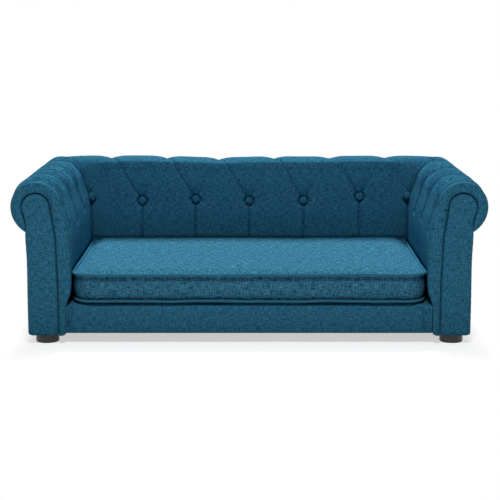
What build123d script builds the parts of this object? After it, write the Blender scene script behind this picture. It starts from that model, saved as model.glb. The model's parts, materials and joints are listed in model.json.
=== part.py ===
from build123d import *
import os
from math import cos, radians, sin, sqrt

# A rolled-arm, button-tufted pet sofa bed: a timber frame, foam, tufted covers and a loose cushion.
# Millimetres. X is the width, Y runs from front to back, Z is up.
# The origin is on the floor, under the centre of the overall box.

# Overall size
overall_width = 900.0
overall_depth = 524.0
overall_height = 310.0

# Clearances and the overrun that all cuts share
fit = 0.3
screw_fit = 0.1
overrun = 2.0

# Depth and inset, as shares of the radius, half way round a quarter round
round_share = 1 - 1 / sqrt(2)

# The one section that the arms and the back share, outward from the centre of the roll
roll_radius = 47.3
ring_width = 19.0
outside_reach = 17.7
shoulder_reach = 60.0
shoulder_height = 224.0
face_reach = 63.7
face_top_height = 172.0
face_low_height = 108.0
face_end_height = 80.0
skirt_reach = 52.5
roll_leave_angle = 160.0
roll_side_angle = 45.0
roll_leave_ease = 0.8
corner_radius = 36.0
front_edge_radius = 6.0

# The scroll at the front of each arm
scroll_shoulder_reach = 36.8
scroll_shoulder_height = 206.0
scroll_skirt_reach = 40.0
scroll_neck_angle = -12.0
scroll_neck_swell = 3.0
facing_recess = 1.5
facing_gap = 1.2
facing_edge_radius = 2.5
facing_corner_radius = 9.0
ring_depth = 10.0
scroll_board_thickness = 12.0

# Foam under the tufted covers
foam_roll_radius = 36.0
foam_shoulder_reach = 43.5
foam_face_reach = 50.0
foam_skirt_reach = 48.0

# Tufts
back_tufts = 5
back_corner_gap = 103.7
arm_tufts = 3
arm_first_tuft = 53.0
arm_corner_gap = 124.7
tuft_height = 218.5
tuft_draw = 9.0
pleat_draw = 6.0
valley_draw = 5.5
dimple_radius = 16.0
dimple_depth = 5.0
corner_dimple_depth = 2.0
corner_turn_share = 0.8
corner_tie_end_reach = 9.0
pleat_groove_radius = 2.6
pleat_groove_depth = 2.0
button_radius = 8.2
button_thickness = 4.6
button_edge_radius = 2.0
tie_radius = 0.8
tie_clearance = 0.4
toggle_radius = 6.0
toggle_thickness = 2.0

# Heights of the base
foot_height = 17.5
foot_radius = 22.25
foot_edge = 1.2
foot_reach = 14.0
foot_forward = 3.5
dust_cover_thickness = 0.8
dust_cover_inset = 1.5
rail_height = 43.0
rail_thickness = 20.0
deck_board_thickness = 6.0
deck_pad_thickness = 7.7
slat_width = 40.0
slat_thickness = 18.0
slat_spacing = 260.0

# Boards and rails of the arms and the back
top_rail_height = 30.0
top_rail_inner_reach = 18.0
top_rail_outer_reach = 12.0
inner_board_thickness = 6.0
inner_board_rise = 10.0
outer_board_thickness = 3.0

# Front rail cover
rail_cover_recess = 8.0
rail_cover_lift = 2.5
rail_cover_top_radius = 6.0
rail_cover_bottom_radius = 4.0

# Foot bolts, threaded inserts and frame screws
bolt_radius = 3.0
bolt_length = 30.0
bolt_head_radius = 6.0
bolt_head_height = 4.0
bolt_head_depth = 3.0
insert_radius = 5.0
insert_length = 18.0
screw_radius = 2.0
screw_length = 45.0
screw_head_radius = 3.8
screw_head_height = 2.5
side_screw_height = 50.0
scroll_screw_height = 32.0

# Seat cushion
cushion_side_gap = 1.0
cushion_front_recess = 7.0
cushion_back_gap = 2.0
cushion_corner_radius = 34.0
cushion_thickness = 63.0
piping_radius = 2.4
low_seam_rise = 6.0
high_seam_drop = 6.0
boxing_draw = 1.2
side_draw = 1.5
cover_thickness = 2.5
# Each crown station: share of the crown's height, and how far the outline is drawn in there
crown_stations = ((0.0, 0.0), (0.5, 10.0), (0.85, 32.0), (1.0, 64.0))
belly_stations = ((0.0, 0.0), (0.6, 2.5), (1.0, 8.0))

# Zip in the cushion's rear boxing
zip_end_margin = 82.9
zip_tape_width = 24.0
zip_tape_thickness = 0.8
zip_tape_seat = 0.7
zip_chain_margin = 10.0
zip_chain_width = 4.5
zip_chain_thickness = 1.4
slider_length = 10.0
slider_width = 9.0
slider_plate = 1.6
slider_end_gap = 3.0

# Places that follow from the sizes
front = -overall_depth / 2
roll_x = overall_width / 2 - roll_radius
roll_y = overall_depth / 2 - roll_radius
roll_z = overall_height - roll_radius
head_radius = roll_radius - ring_width
skirt_bottom = foot_height + fit
frame_bottom = foot_height + dust_cover_thickness
rail_top = frame_bottom + rail_height
deck_top = rail_top + deck_board_thickness
seat_bottom = deck_top + deck_pad_thickness
board_front = front + ring_depth + scroll_board_thickness
outer_board_reach = top_rail_outer_reach + outer_board_thickness
inner_board_reach = top_rail_inner_reach + inner_board_thickness
frame_back = roll_y + top_rail_outer_reach
side_rail_inner_reach = rail_thickness - top_rail_outer_reach
inner_face_x = roll_x - face_reach
inner_face_y = roll_y - face_reach
arm_tuft_span = inner_face_y - arm_corner_gap - front - arm_first_tuft
arm_pitch = arm_tuft_span / (arm_tufts - 1)
back_pitch = 2 * (inner_face_x - back_corner_gap) / (back_tufts - 1)
arm_tuft_places = [front + arm_first_tuft + i * arm_pitch for i in range(arm_tufts)]
arm_valley_places = [y + arm_pitch / 2 for y in arm_tuft_places]
back_tuft_places = [(i - (back_tufts - 1) / 2) * back_pitch for i in range(back_tufts)]
back_valley_places = [(i - back_tufts / 2) * back_pitch for i in range(back_tufts + 1)]
front_rail_y = board_front + rail_thickness / 2
rear_rail_y = roll_y - inner_board_reach + rail_thickness / 2
foot_x = roll_x - foot_reach
foot_front_y = front_rail_y - foot_forward
foot_rear_y = rear_rail_y
foot_places = [(x, y) for x in (-foot_x, foot_x) for y in (foot_front_y, foot_rear_y)]


def arm_plane(y):
    """Section of the right arm: local x is outward, local y is up."""
    return Plane(origin=(roll_x, y, 0), x_dir=(1, 0, 0), z_dir=(0, -1, 0))


def back_plane(x):
    """Section of the back: local x is outward, local y is up."""
    return Plane(origin=(x, roll_y, 0), x_dir=(0, 1, 0), z_dir=(1, 0, 0))


def on_roll(radius, angle):
    return (radius * cos(radians(angle)), roll_z + radius * sin(radians(angle)))


def below_roll(radius, reach):
    """Height at which a circle round the roll's centre crosses a reach, on its underside."""
    return roll_z - sqrt(radius**2 - reach**2)


def write(part, name):
    part.label = name
    export_step(part, f"parts/{name}.step")


def write_pair(part, name):
    """Writes the right-hand piece and its mirror image on the left."""
    write(part, f"{name}_right")
    with BuildPart() as left:
        mirror(part, about=Plane.YZ)
    write(left.part, f"{name}_left")


def roll_and_face(start_reach, radius, valley, shoulder, face, skirt):
    """Open outline from under the roll, over it and down the inner face to the skirt's top."""
    start = (start_reach, below_roll(radius, start_reach))
    side = on_roll(radius, roll_side_angle)
    leave = on_roll(radius - valley - roll_leave_ease, roll_leave_angle)
    shoulder_point = (-shoulder, shoulder_height)
    face_top = (-face, face_top_height)
    face_low = (-face, face_low_height)
    face_end = (-skirt, face_end_height)
    bend_share = 0.72
    ThreePointArc(start, on_roll(radius, -roll_side_angle / 2), side)
    ThreePointArc(side, on_roll(radius - valley, 90), leave)
    Line(leave, shoulder_point)
    ThreePointArc(
        shoulder_point,
        (
            -shoulder - (face - shoulder) * bend_share,
            (shoulder_height + face_top_height) / 2,
        ),
        face_top,
    )
    Line(face_top, face_low)
    ThreePointArc(
        face_low,
        (-face + (face - skirt) * (1 - bend_share), (face_low_height + face_end_height) / 2),
        face_end,
    )
    return start, face_end


def cover_section(plane, edge=0.0, valley_share=0.0, tuft_share=0.0):
    """Full section of a tufted cover, drawn in at its edge, at a valley or at a tuft."""
    with BuildSketch(plane) as section:
        with BuildLine():
            start, end = roll_and_face(
                outside_reach,
                roll_radius - edge,
                valley_draw * valley_share,
                shoulder_reach - edge - tuft_draw * tuft_share,
                face_reach - edge - pleat_draw * tuft_share,
                skirt_reach - edge,
            )
            Polyline(end, (end[0], skirt_bottom), (outside_reach, skirt_bottom), start)
        make_face()
    return section.sketch


def half_tuft(plane_at, tuft_place, valley_place, valley_share=1.0):
    """Cover between the sewn line through a button and the valley beside it."""
    quarter_share = 0.2
    with BuildPart() as half:
        add(cover_section(plane_at(tuft_place), tuft_share=1.0))
        add(
            cover_section(
                plane_at((tuft_place + valley_place) / 2),
                valley_share=valley_share * quarter_share,
                tuft_share=quarter_share,
            )
        )
        add(cover_section(plane_at(valley_place), valley_share=valley_share))
        loft()
    return half.part


def cavity_section(plane):
    """Room inside a tufted cover, open below and on the outside."""
    with BuildSketch(plane) as section:
        with BuildLine():
            start, end = roll_and_face(
                outer_board_reach,
                foam_roll_radius,
                0,
                foam_shoulder_reach,
                foam_face_reach,
                foam_skirt_reach,
            )
            ledge = below_roll(roll_radius, outer_board_reach)
            Polyline(
                end,
                (end[0], skirt_bottom - overrun),
                (outside_reach + overrun, skirt_bottom - overrun),
                (outside_reach + overrun, ledge),
                (outer_board_reach, ledge),
                start,
            )
        make_face()
    return section.sketch


def foam_section(plane):
    """Foam from the deck up the inner board, over the top rail and round the roll."""
    with BuildSketch(plane) as section:
        with BuildLine():
            start, end = roll_and_face(
                outer_board_reach,
                foam_roll_radius - fit,
                0,
                foam_shoulder_reach - fit,
                foam_face_reach - fit,
                foam_skirt_reach - fit,
            )
            board_top = roll_z + inner_board_rise
            rail_top_z = roll_z + top_rail_height / 2
            Polyline(
                end,
                (end[0], deck_top),
                (-inner_board_reach, deck_top),
                (-inner_board_reach, board_top),
                (-top_rail_inner_reach, board_top),
                (-top_rail_inner_reach, rail_top_z),
                (top_rail_outer_reach, rail_top_z),
                (top_rail_outer_reach, board_top),
                (outer_board_reach, board_top),
                start,
            )
        make_face()
    return section.sketch


def scroll_section(plane, inset, outside, bottom):
    """Scroll outline of the facing and its board: a round head on a tapering leg."""
    radius = head_radius - inset
    shoulder = (-scroll_shoulder_reach + inset, scroll_shoulder_height)
    leave = on_roll(radius, roll_leave_angle)
    neck = on_roll(radius, scroll_neck_angle)
    tuck = (outside, below_roll(roll_radius, outside_reach))
    with BuildSketch(plane) as section:
        with BuildLine():
            ThreePointArc(neck, on_roll(radius, 90), leave)
            Line(leave, shoulder)
            Line(shoulder, (-scroll_skirt_reach + inset, face_low_height))
            Polyline(
                (-scroll_skirt_reach + inset, face_low_height),
                (-scroll_skirt_reach + inset, bottom),
                (outside, bottom),
                tuck,
            )
            middle = (
                (tuck[0] + neck[0]) / 2 - scroll_neck_swell,
                (tuck[1] + neck[1]) / 2,
            )
            ThreePointArc(tuck, middle, neck)
        make_face()
    return section.sketch


def mitre_tool():
    """Everything behind the right mitre, which a right arm's pieces lose."""
    far = overall_width
    with BuildPart() as tool:
        with BuildSketch(Plane.XY):
            with BuildLine():
                Polyline(
                    (roll_x - far, roll_y - far),
                    (roll_x + far, roll_y + far),
                    (roll_x - far, roll_y + far),
                    close=True,
                )
            make_face()
        extrude(amount=overall_height + overrun)
    return tool.part


def arm_side_tool():
    """Everything in front of both mitres, which the back's pieces lose."""
    far = overall_width
    with BuildPart() as tool:
        with BuildSketch(Plane.XY):
            with BuildLine():
                Polyline(
                    (roll_x - far, roll_y - far),
                    (roll_x + far, roll_y - far),
                    (roll_x + far, roll_y + far),
                    close=True,
                )
            make_face()
        extrude(amount=overall_height + overrun)
        mirror(about=Plane.YZ)
    return tool.part


def corner_tool(reach, radius):
    """What lies outside the rounded rear corners of a piece that reaches so far outward."""
    x = roll_x + reach
    y = roll_y + reach
    with BuildPart() as tool:
        with BuildSketch(Plane.XY):
            with BuildLine():
                RadiusArc((x, y - radius), (x - radius, y), -radius)
                Polyline(
                    (x - radius, y),
                    (x - radius, y + overrun),
                    (x + overrun, y + overrun),
                    (x + overrun, y - radius),
                    (x, y - radius),
                )
            make_face()
        extrude(amount=overall_height + overrun)
        mirror(about=Plane.YZ)
    return tool.part


mitre = mitre_tool()
arm_sides = arm_side_tool()
cover_corners = corner_tool(roll_radius, corner_radius)
foam_corners = corner_tool(foam_roll_radius, corner_radius - roll_radius + foam_roll_radius)

# Where the buttons sit: at the bottom of each dimple, facing into the bed
tuft_surface = shoulder_reach - tuft_draw
dimple_centre = tuft_surface + dimple_radius - dimple_depth
corner_dimple_centre = tuft_surface + (dimple_radius - corner_dimple_depth) / sqrt(2)
seat_in_dimple = sqrt(dimple_radius**2 - button_radius**2) - fit
button_seat = dimple_centre - seat_in_dimple
corner_button_seat = corner_dimple_centre - seat_in_dimple / sqrt(2)
groove_reach = face_reach - pleat_draw + pleat_groove_radius - pleat_groove_depth


def tuft_plane(x, y, outward, sideways=None):
    return Plane(origin=(x, y, tuft_height), x_dir=sideways, z_dir=outward)


def arm_tuft_planes(reach):
    return [tuft_plane(roll_x - reach, y, (1, 0, 0)) for y in arm_tuft_places]


def back_tuft_planes(reach):
    return [tuft_plane(x, roll_y - reach, (0, 1, 0)) for x in back_tuft_places]


def corner_tuft_planes(reach):
    """Planes across the corners, turned about their axis so that no seam lies in the mitre."""
    planes = []
    for side in (-1, 1):
        x = side * (roll_x - reach)
        planes.append(tuft_plane(x, roll_y - reach, (side, 1, 0), (1, -side, corner_turn_share)))
    return planes


def tie_holes(planes, length):
    """Holes for the ties, from each plane outward."""
    with Locations(*planes):
        Cylinder(
            tie_radius + tie_clearance,
            length,
            align=(Align.CENTER, Align.CENTER, Align.MIN),
            mode=Mode.SUBTRACT,
        )


def dimples(planes, tie_length):
    """Round dimples centred on the planes, with the holes that the ties run through."""
    with Locations(*planes):
        Sphere(dimple_radius, mode=Mode.SUBTRACT)
    tie_holes(planes, tie_length)


def pleat_grooves(places):
    """Sewn pleats that run from the buttons down to the deck."""
    with Locations(*[(x, y, deck_top) for x, y in places]):
        Cylinder(
            pleat_groove_radius,
            tuft_height - deck_top,
            align=(Align.CENTER, Align.CENTER, Align.MIN),
            mode=Mode.SUBTRACT,
        )


def block(low, high, mode=Mode.ADD):
    """Box between its lowest and its highest corner."""
    with Locations(low):
        Box(
            high[0] - low[0],
            high[1] - low[1],
            high[2] - low[2],
            align=(Align.MIN, Align.MIN, Align.MIN),
            mode=mode,
        )


corner_tie_length = corner_dimple_centre * sqrt(2)

# Tufted cover of the right arm: wadding under cloth, over the roll and down the inner face
with BuildPart() as arm_cover:
    add(cover_section(arm_plane(front), edge=front_edge_radius))
    edge_step = front_edge_radius * round_share
    add(cover_section(arm_plane(front + edge_step), edge=edge_step))
    add(cover_section(arm_plane(front + front_edge_radius)))
    loft()
    add(half_tuft(arm_plane, arm_tuft_places[0], front + front_edge_radius, 0.0))
    for tuft_y, valley_y in zip(arm_tuft_places, arm_valley_places):
        add(half_tuft(arm_plane, tuft_y, valley_y))
    for tuft_y, valley_y in zip((*arm_tuft_places[1:], inner_face_y), arm_valley_places):
        add(half_tuft(arm_plane, tuft_y, valley_y))
    extrude(
        cover_section(arm_plane(inner_face_y), tuft_share=1.0),
        amount=-(face_reach + roll_radius + overrun),
    )
    extrude(cavity_section(arm_plane(board_front)), amount=-overall_depth, mode=Mode.SUBTRACT)
    extrude(
        scroll_section(
            arm_plane(front - overrun), 0, outside_reach + overrun, skirt_bottom - overrun
        ),
        amount=-(board_front - front + overrun),
        mode=Mode.SUBTRACT,
    )
    block(
        (0, board_front, 0),
        (overall_width, overall_depth, deck_top),
        mode=Mode.SUBTRACT,
    )
    pleat_grooves([(roll_x - groove_reach, y) for y in arm_tuft_places])
    dimples(arm_tuft_planes(dimple_centre), dimple_centre)
    dimples(corner_tuft_planes(corner_dimple_centre)[1:], corner_tie_length)
    add(mitre, mode=Mode.SUBTRACT)
    add(cover_corners, mode=Mode.SUBTRACT)

# Tufted cover of the back, mitred to both arms
with BuildPart() as back_cover:
    for tuft_x, valley_x in zip((*back_tuft_places, inner_face_x), back_valley_places):
        add(half_tuft(back_plane, tuft_x, valley_x))
    for tuft_x, valley_x in zip((-inner_face_x, *back_tuft_places), back_valley_places):
        add(half_tuft(back_plane, tuft_x, valley_x))
    for side in (-1, 1):
        extrude(
            cover_section(back_plane(side * inner_face_x), tuft_share=1.0),
            amount=side * (face_reach + roll_radius + overrun),
        )
    extrude(cavity_section(back_plane(0)), amount=overall_width, both=True, mode=Mode.SUBTRACT)
    block(
        (-overall_width, 0, 0),
        (overall_width, overall_depth, deck_top),
        mode=Mode.SUBTRACT,
    )
    pleat_grooves([(x, roll_y - groove_reach) for x in back_tuft_places])
    dimples(back_tuft_planes(dimple_centre), dimple_centre)
    dimples(corner_tuft_planes(corner_dimple_centre), corner_tie_length)
    add(arm_sides, mode=Mode.SUBTRACT)
    add(cover_corners, mode=Mode.SUBTRACT)

# Foam of the arms and the back, from the deck over the top rails
with BuildPart() as arm_foam:
    extrude(foam_section(arm_plane(board_front)), amount=-overall_depth)
    tie_holes(arm_tuft_planes(dimple_centre), dimple_centre)
    tie_holes(corner_tuft_planes(corner_dimple_centre)[1:], corner_tie_length)
    add(mitre, mode=Mode.SUBTRACT)
    add(foam_corners, mode=Mode.SUBTRACT)

with BuildPart() as back_foam:
    extrude(foam_section(back_plane(0)), amount=overall_width / 2, both=True)
    tie_holes(back_tuft_planes(dimple_centre), dimple_centre)
    tie_holes(corner_tuft_planes(corner_dimple_centre), corner_tie_length)
    add(arm_sides, mode=Mode.SUBTRACT)
    add(foam_corners, mode=Mode.SUBTRACT)

# Covered buttons, their ties and the toggles that hold the ties behind the inner boards
with BuildPart() as button:
    Cylinder(button_radius, button_thickness, align=(Align.CENTER, Align.CENTER, Align.MAX))
    fillet(button.edges().group_by(Axis.Z)[0], button_edge_radius)

with BuildPart() as arm_buttons:
    with Locations(*arm_tuft_planes(button_seat)):
        add(button.part)

with BuildPart() as back_buttons:
    with Locations(*back_tuft_planes(button_seat), *corner_tuft_planes(corner_button_seat)):
        add(button.part)

tie_reach = button_seat - top_rail_inner_reach + toggle_thickness
with BuildPart() as arm_ties:
    with Locations(*arm_tuft_planes(button_seat)):
        Cylinder(tie_radius, tie_reach, align=(Align.CENTER, Align.CENTER, Align.MIN))

with BuildPart() as back_ties:
    with Locations(*back_tuft_planes(button_seat)):
        Cylinder(tie_radius, tie_reach, align=(Align.CENTER, Align.CENTER, Align.MIN))
    with Locations(*corner_tuft_planes(corner_button_seat)):
        Cylinder(
            tie_radius,
            (corner_button_seat - corner_tie_end_reach) * sqrt(2),
            align=(Align.CENTER, Align.CENTER, Align.MIN),
        )

with BuildPart() as tie_toggles:
    left_planes = [
        tuft_plane(-roll_x + top_rail_inner_reach, y, (-1, 0, 0)) for y in arm_tuft_places
    ]
    toggle_planes = [
        *arm_tuft_planes(top_rail_inner_reach),
        *left_planes,
        *back_tuft_planes(top_rail_inner_reach),
    ]
    with Locations(*toggle_planes):
        Cylinder(toggle_radius, toggle_thickness, align=(Align.CENTER, Align.CENTER, Align.MIN))
    tie_holes(toggle_planes, toggle_thickness)

# Frame screws: through the side rails into the cross rails, and through the scroll boards
side_screw_places = [(y, side_screw_height) for y in (front_rail_y, rear_rail_y)]
scroll_screw_places = [
    (roll_x + (top_rail_outer_reach - top_rail_inner_reach) / 2, roll_z),
    (roll_x + top_rail_outer_reach - rail_thickness / 2, scroll_screw_height),
]


def screw_planes():
    """Head faces of all frame screws, with Z along each screw."""
    planes = []
    for side in (-1, 1):
        for y, z in side_screw_places:
            head = (side * (roll_x + top_rail_outer_reach), y, z)
            planes.append(Plane(origin=head, z_dir=(-side, 0, 0)))
        for x, z in scroll_screw_places:
            planes.append(Plane(origin=(side * x, front + ring_depth, z), z_dir=(0, 1, 0)))
    return planes


def screws(clearance=0.0, mode=Mode.ADD):
    """All frame screws, or their holes when a clearance and a cutting mode are given."""
    with Locations(*screw_planes()):
        Cylinder(
            screw_radius + clearance,
            screw_length + clearance,
            align=(Align.CENTER, Align.CENTER, Align.MIN),
            mode=mode,
        )
        Cylinder(
            screw_head_radius + clearance,
            screw_head_height + clearance,
            align=(Align.CENTER, Align.CENTER, Align.MIN),
            mode=mode,
        )


def screw_holes():
    screws(clearance=screw_fit, mode=Mode.SUBTRACT)


with BuildPart() as frame_screws:
    screws()

# Base frame: two cross rails between two side rails, with slats under the deck board
cross_rail_half = roll_x - side_rail_inner_reach


def cross_rail(y, foot_y):
    """Cross rail centred on y, with a seat for each foot's threaded insert and bolt."""
    with BuildPart() as rail:
        block(
            (-cross_rail_half, y - rail_thickness / 2, frame_bottom),
            (cross_rail_half, y + rail_thickness / 2, rail_top),
        )
        with Locations((-foot_x, foot_y, frame_bottom), (foot_x, foot_y, frame_bottom)):
            Cylinder(
                insert_radius,
                insert_length,
                align=(Align.CENTER, Align.CENTER, Align.MIN),
                mode=Mode.SUBTRACT,
            )
            Cylinder(
                bolt_radius + screw_fit,
                bolt_length,
                align=(Align.CENTER, Align.CENTER, Align.MIN),
                mode=Mode.SUBTRACT,
            )
        screw_holes()
    return rail.part


with BuildPart() as side_rail:
    block(
        (roll_x - side_rail_inner_reach, board_front, frame_bottom),
        (roll_x + top_rail_outer_reach, frame_back, rail_top),
    )
    screw_holes()

with BuildPart() as deck_slats:
    with Locations((-slat_spacing / 2, 0, rail_top), (slat_spacing / 2, 0, rail_top)):
        with Locations((0, board_front + rail_thickness, 0)):
            Box(
                slat_width,
                rear_rail_y - rail_thickness / 2 - board_front - rail_thickness,
                slat_thickness,
                align=(Align.CENTER, Align.MIN, Align.MAX),
            )

with BuildPart() as deck_board:
    block(
        (-roll_x - top_rail_outer_reach, board_front, rail_top),
        (roll_x + top_rail_outer_reach, frame_back, deck_top),
    )

with BuildPart() as deck_pad:
    block(
        (-roll_x + skirt_reach + fit, board_front + rail_thickness, deck_top),
        (roll_x - skirt_reach - fit, roll_y - skirt_reach - fit, seat_bottom),
    )

# Padded cover of the front rail, turned over its top to the deck pad
with BuildPart() as front_rail_cover:
    with BuildSketch(Plane.YZ) as profile:
        with BuildLine():
            cover_front = front + rail_cover_recess
            cover_bottom = skirt_bottom + rail_cover_lift
            Polyline(
                (cover_front, cover_bottom),
                (board_front, cover_bottom),
                (board_front, deck_top),
                (board_front + rail_thickness, deck_top),
                (board_front + rail_thickness, seat_bottom),
                (cover_front, seat_bottom),
                close=True,
            )
        make_face()
        fillet(profile.vertices().group_by(Axis.X)[0].sort_by(Axis.Y)[0], rail_cover_bottom_radius)
        fillet(profile.vertices().group_by(Axis.X)[0].sort_by(Axis.Y)[-1], rail_cover_top_radius)
    extrude(amount=roll_x - skirt_reach - fit, both=True)

# Arms: scroll board, top rail, inner and outer boards
with BuildPart() as scroll_board:
    extrude(
        scroll_section(arm_plane(front + ring_depth), fit, outer_board_reach, frame_bottom),
        amount=-scroll_board_thickness,
    )
    screw_holes()

with BuildPart() as arm_top_rail:
    block(
        (roll_x - top_rail_inner_reach, board_front, roll_z - top_rail_height / 2),
        (
            roll_x + top_rail_outer_reach,
            roll_y - top_rail_inner_reach,
            roll_z + top_rail_height / 2,
        ),
    )
    screw_holes()

with BuildPart() as arm_inner_board:
    block(
        (roll_x - inner_board_reach, board_front, deck_top),
        (roll_x - top_rail_inner_reach, roll_y - inner_board_reach, roll_z + inner_board_rise),
    )
    tie_holes(arm_tuft_planes(dimple_centre), dimple_centre)
    tie_holes(corner_tuft_planes(corner_dimple_centre), corner_tie_length)

with BuildPart() as arm_outer_board:
    block(
        (roll_x + top_rail_outer_reach, board_front, frame_bottom),
        (roll_x + outer_board_reach, roll_y + outer_board_reach, roll_z + inner_board_rise),
    )

with BuildPart() as rear_post:
    block(
        (roll_x - top_rail_inner_reach, roll_y - top_rail_inner_reach, deck_top),
        (
            roll_x + top_rail_outer_reach,
            roll_y + top_rail_outer_reach,
            roll_z - top_rail_height / 2,
        ),
    )
    tie_holes(corner_tuft_planes(corner_dimple_centre), corner_tie_length)

# Back: top rail, inner and outer boards
with BuildPart() as back_top_rail:
    block(
        (
            -roll_x - top_rail_outer_reach,
            roll_y - top_rail_inner_reach,
            roll_z - top_rail_height / 2,
        ),
        (
            roll_x + top_rail_outer_reach,
            roll_y + top_rail_outer_reach,
            roll_z + top_rail_height / 2,
        ),
    )

with BuildPart() as back_inner_board:
    block(
        (-roll_x + top_rail_inner_reach, roll_y - inner_board_reach, deck_top),
        (
            roll_x - top_rail_inner_reach,
            roll_y - top_rail_inner_reach,
            roll_z + inner_board_rise,
        ),
    )
    tie_holes(back_tuft_planes(dimple_centre), dimple_centre)
    tie_holes(corner_tuft_planes(corner_dimple_centre), corner_tie_length)

with BuildPart() as back_outer_board:
    block(
        (-roll_x - top_rail_outer_reach, frame_back, frame_bottom),
        (
            roll_x + top_rail_outer_reach,
            roll_y + outer_board_reach,
            roll_z + inner_board_rise,
        ),
    )

# Facing pinned on each scroll board, and the cloth on the outsides
with BuildPart() as arm_facing:
    extrude(
        scroll_section(
            arm_plane(front + facing_recess), facing_gap, outside_reach, skirt_bottom
        ),
        amount=-(ring_depth - facing_recess),
    )
    fillet(
        arm_facing.edges().filter_by(Axis.Y).group_by(Axis.Z)[0],
        facing_corner_radius,
    )
    fillet(arm_facing.faces().sort_by(Axis.Y)[0].edges(), facing_edge_radius)

outside_top = below_roll(roll_radius, outer_board_reach) - fit
with BuildPart() as outside_arm_cover:
    block(
        (roll_x + outer_board_reach, front + ring_depth, skirt_bottom),
        (roll_x + outside_reach, roll_y + outside_reach, outside_top),
    )
    rear_edge = outside_arm_cover.edges().filter_by(Axis.Z).group_by(Axis.Y)[-1].sort_by(Axis.X)
    fillet(rear_edge[-1], outside_reach - outer_board_reach - fit)

with BuildPart() as outside_back_cover:
    block(
        (-roll_x - outer_board_reach, roll_y + outer_board_reach, skirt_bottom),
        (roll_x + outer_board_reach, roll_y + outside_reach, outside_top),
    )

# Dust cover under the frame, the feet, and what holds the feet
with BuildPart() as dust_cover:
    half = roll_x + top_rail_outer_reach - dust_cover_inset
    block(
        (-half, board_front + dust_cover_inset, foot_height),
        (half, frame_back - dust_cover_inset, frame_bottom),
    )
    with Locations(*[(x, y, foot_height) for x, y in foot_places]):
        Cylinder(
            bolt_radius + fit,
            dust_cover_thickness,
            align=(Align.CENTER, Align.CENTER, Align.MIN),
            mode=Mode.SUBTRACT,
        )


def foot(x, y):
    """Round foot with a recess in its sole for the bolt's head."""
    with BuildPart() as turned:
        with Locations((x, y, 0)):
            Cylinder(foot_radius, foot_height, align=(Align.CENTER, Align.CENTER, Align.MIN))
        chamfer(turned.faces().sort_by(Axis.Z)[0].edges(), foot_edge)
        with Locations(Plane(origin=(x, y, 0), z_dir=(0, 0, -1))):
            CounterBoreHole(
                bolt_radius + fit,
                bolt_head_radius + fit,
                bolt_head_depth + bolt_head_height,
                depth=foot_height,
            )
    return turned.part


with BuildPart() as foot_bolts:
    with Locations(*[(x, y, bolt_head_depth) for x, y in foot_places]):
        Cylinder(
            bolt_head_radius, bolt_head_height, align=(Align.CENTER, Align.CENTER, Align.MIN)
        )
        Cylinder(
            bolt_radius,
            bolt_head_height + bolt_length,
            align=(Align.CENTER, Align.CENTER, Align.MIN),
        )

with BuildPart() as foot_inserts:
    with Locations(*[(x, y, frame_bottom) for x, y in foot_places]):
        Cylinder(insert_radius, insert_length, align=(Align.CENTER, Align.CENTER, Align.MIN))
        Cylinder(
            bolt_radius,
            insert_length,
            align=(Align.CENTER, Align.CENTER, Align.MIN),
            mode=Mode.SUBTRACT,
        )

# Seat cushion: foam in a boxed cover with piping round both seams
piping_proud = 2 * piping_radius + fit
cushion_half_x = inner_face_x - cushion_side_gap - piping_proud
cushion_front = front + cushion_front_recess
cushion_rear = inner_face_y - cushion_back_gap
cushion_half_y = (cushion_rear - cushion_front) / 2 - piping_proud
cushion_y = (cushion_front + cushion_rear) / 2
low_seam = seat_bottom + low_seam_rise
high_seam = seat_bottom + cushion_thickness - high_seam_drop
mid_boxing = (low_seam + high_seam) / 2


def cushion_outline(z, inset):
    """Plan of the cushion at one height, its sides drawn in a little between the corners."""
    x = cushion_half_x - inset
    y = cushion_half_y - inset
    with BuildSketch(Plane((0, cushion_y, z))) as outline:
        with BuildLine():
            ThreePointArc((-x, -y), (0, -y + side_draw), (x, -y))
            ThreePointArc((x, -y), (x - side_draw, 0), (x, y))
            ThreePointArc((x, y), (0, y - side_draw), (-x, y))
            ThreePointArc((-x, y), (-x + side_draw, 0), (-x, -y))
        make_face()
        fillet(outline.vertices(), cushion_corner_radius)
    return outline.sketch


def cushion_form(shrink):
    """Boxing, crown and belly of the cushion, all made smaller by the same thickness."""
    with BuildPart() as form:
        add(cushion_outline(low_seam, shrink))
        add(cushion_outline(mid_boxing, shrink + boxing_draw))
        add(cushion_outline(high_seam, shrink))
        loft()
        crown = cushion_thickness + seat_bottom - high_seam - shrink
        for height_share, inset in crown_stations:
            add(cushion_outline(high_seam + crown * height_share, shrink + inset))
        loft()
        belly = low_seam - seat_bottom - shrink
        for height_share, inset in belly_stations:
            add(cushion_outline(low_seam - belly * height_share, shrink + inset))
        loft()
    return form.part


def piping(z):
    """Cord round the seam at one height, just proud of the cover."""
    path = cushion_outline(z, -piping_radius - fit).face().outer_wire()
    with BuildPart() as cord:
        with BuildSketch(Plane(path ^ 0)):
            Circle(piping_radius)
        sweep(path=path)
    return cord.part


zip_tape_length = 2 * (cushion_half_x - zip_end_margin)
zip_chain_length = zip_tape_length - 2 * zip_chain_margin
zip_seat = cushion_y + cushion_half_y - side_draw - boxing_draw - zip_tape_seat
tape_face = zip_seat + zip_tape_thickness
chain_face = tape_face + zip_chain_thickness


def zip_block(length, width, near, far, mode=Mode.ADD, centre=0.0):
    """Box along the zip's line, between two depths."""
    block(
        (centre - length / 2, near, mid_boxing - width / 2),
        (centre + length / 2, far, mid_boxing + width / 2),
        mode=mode,
    )


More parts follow.
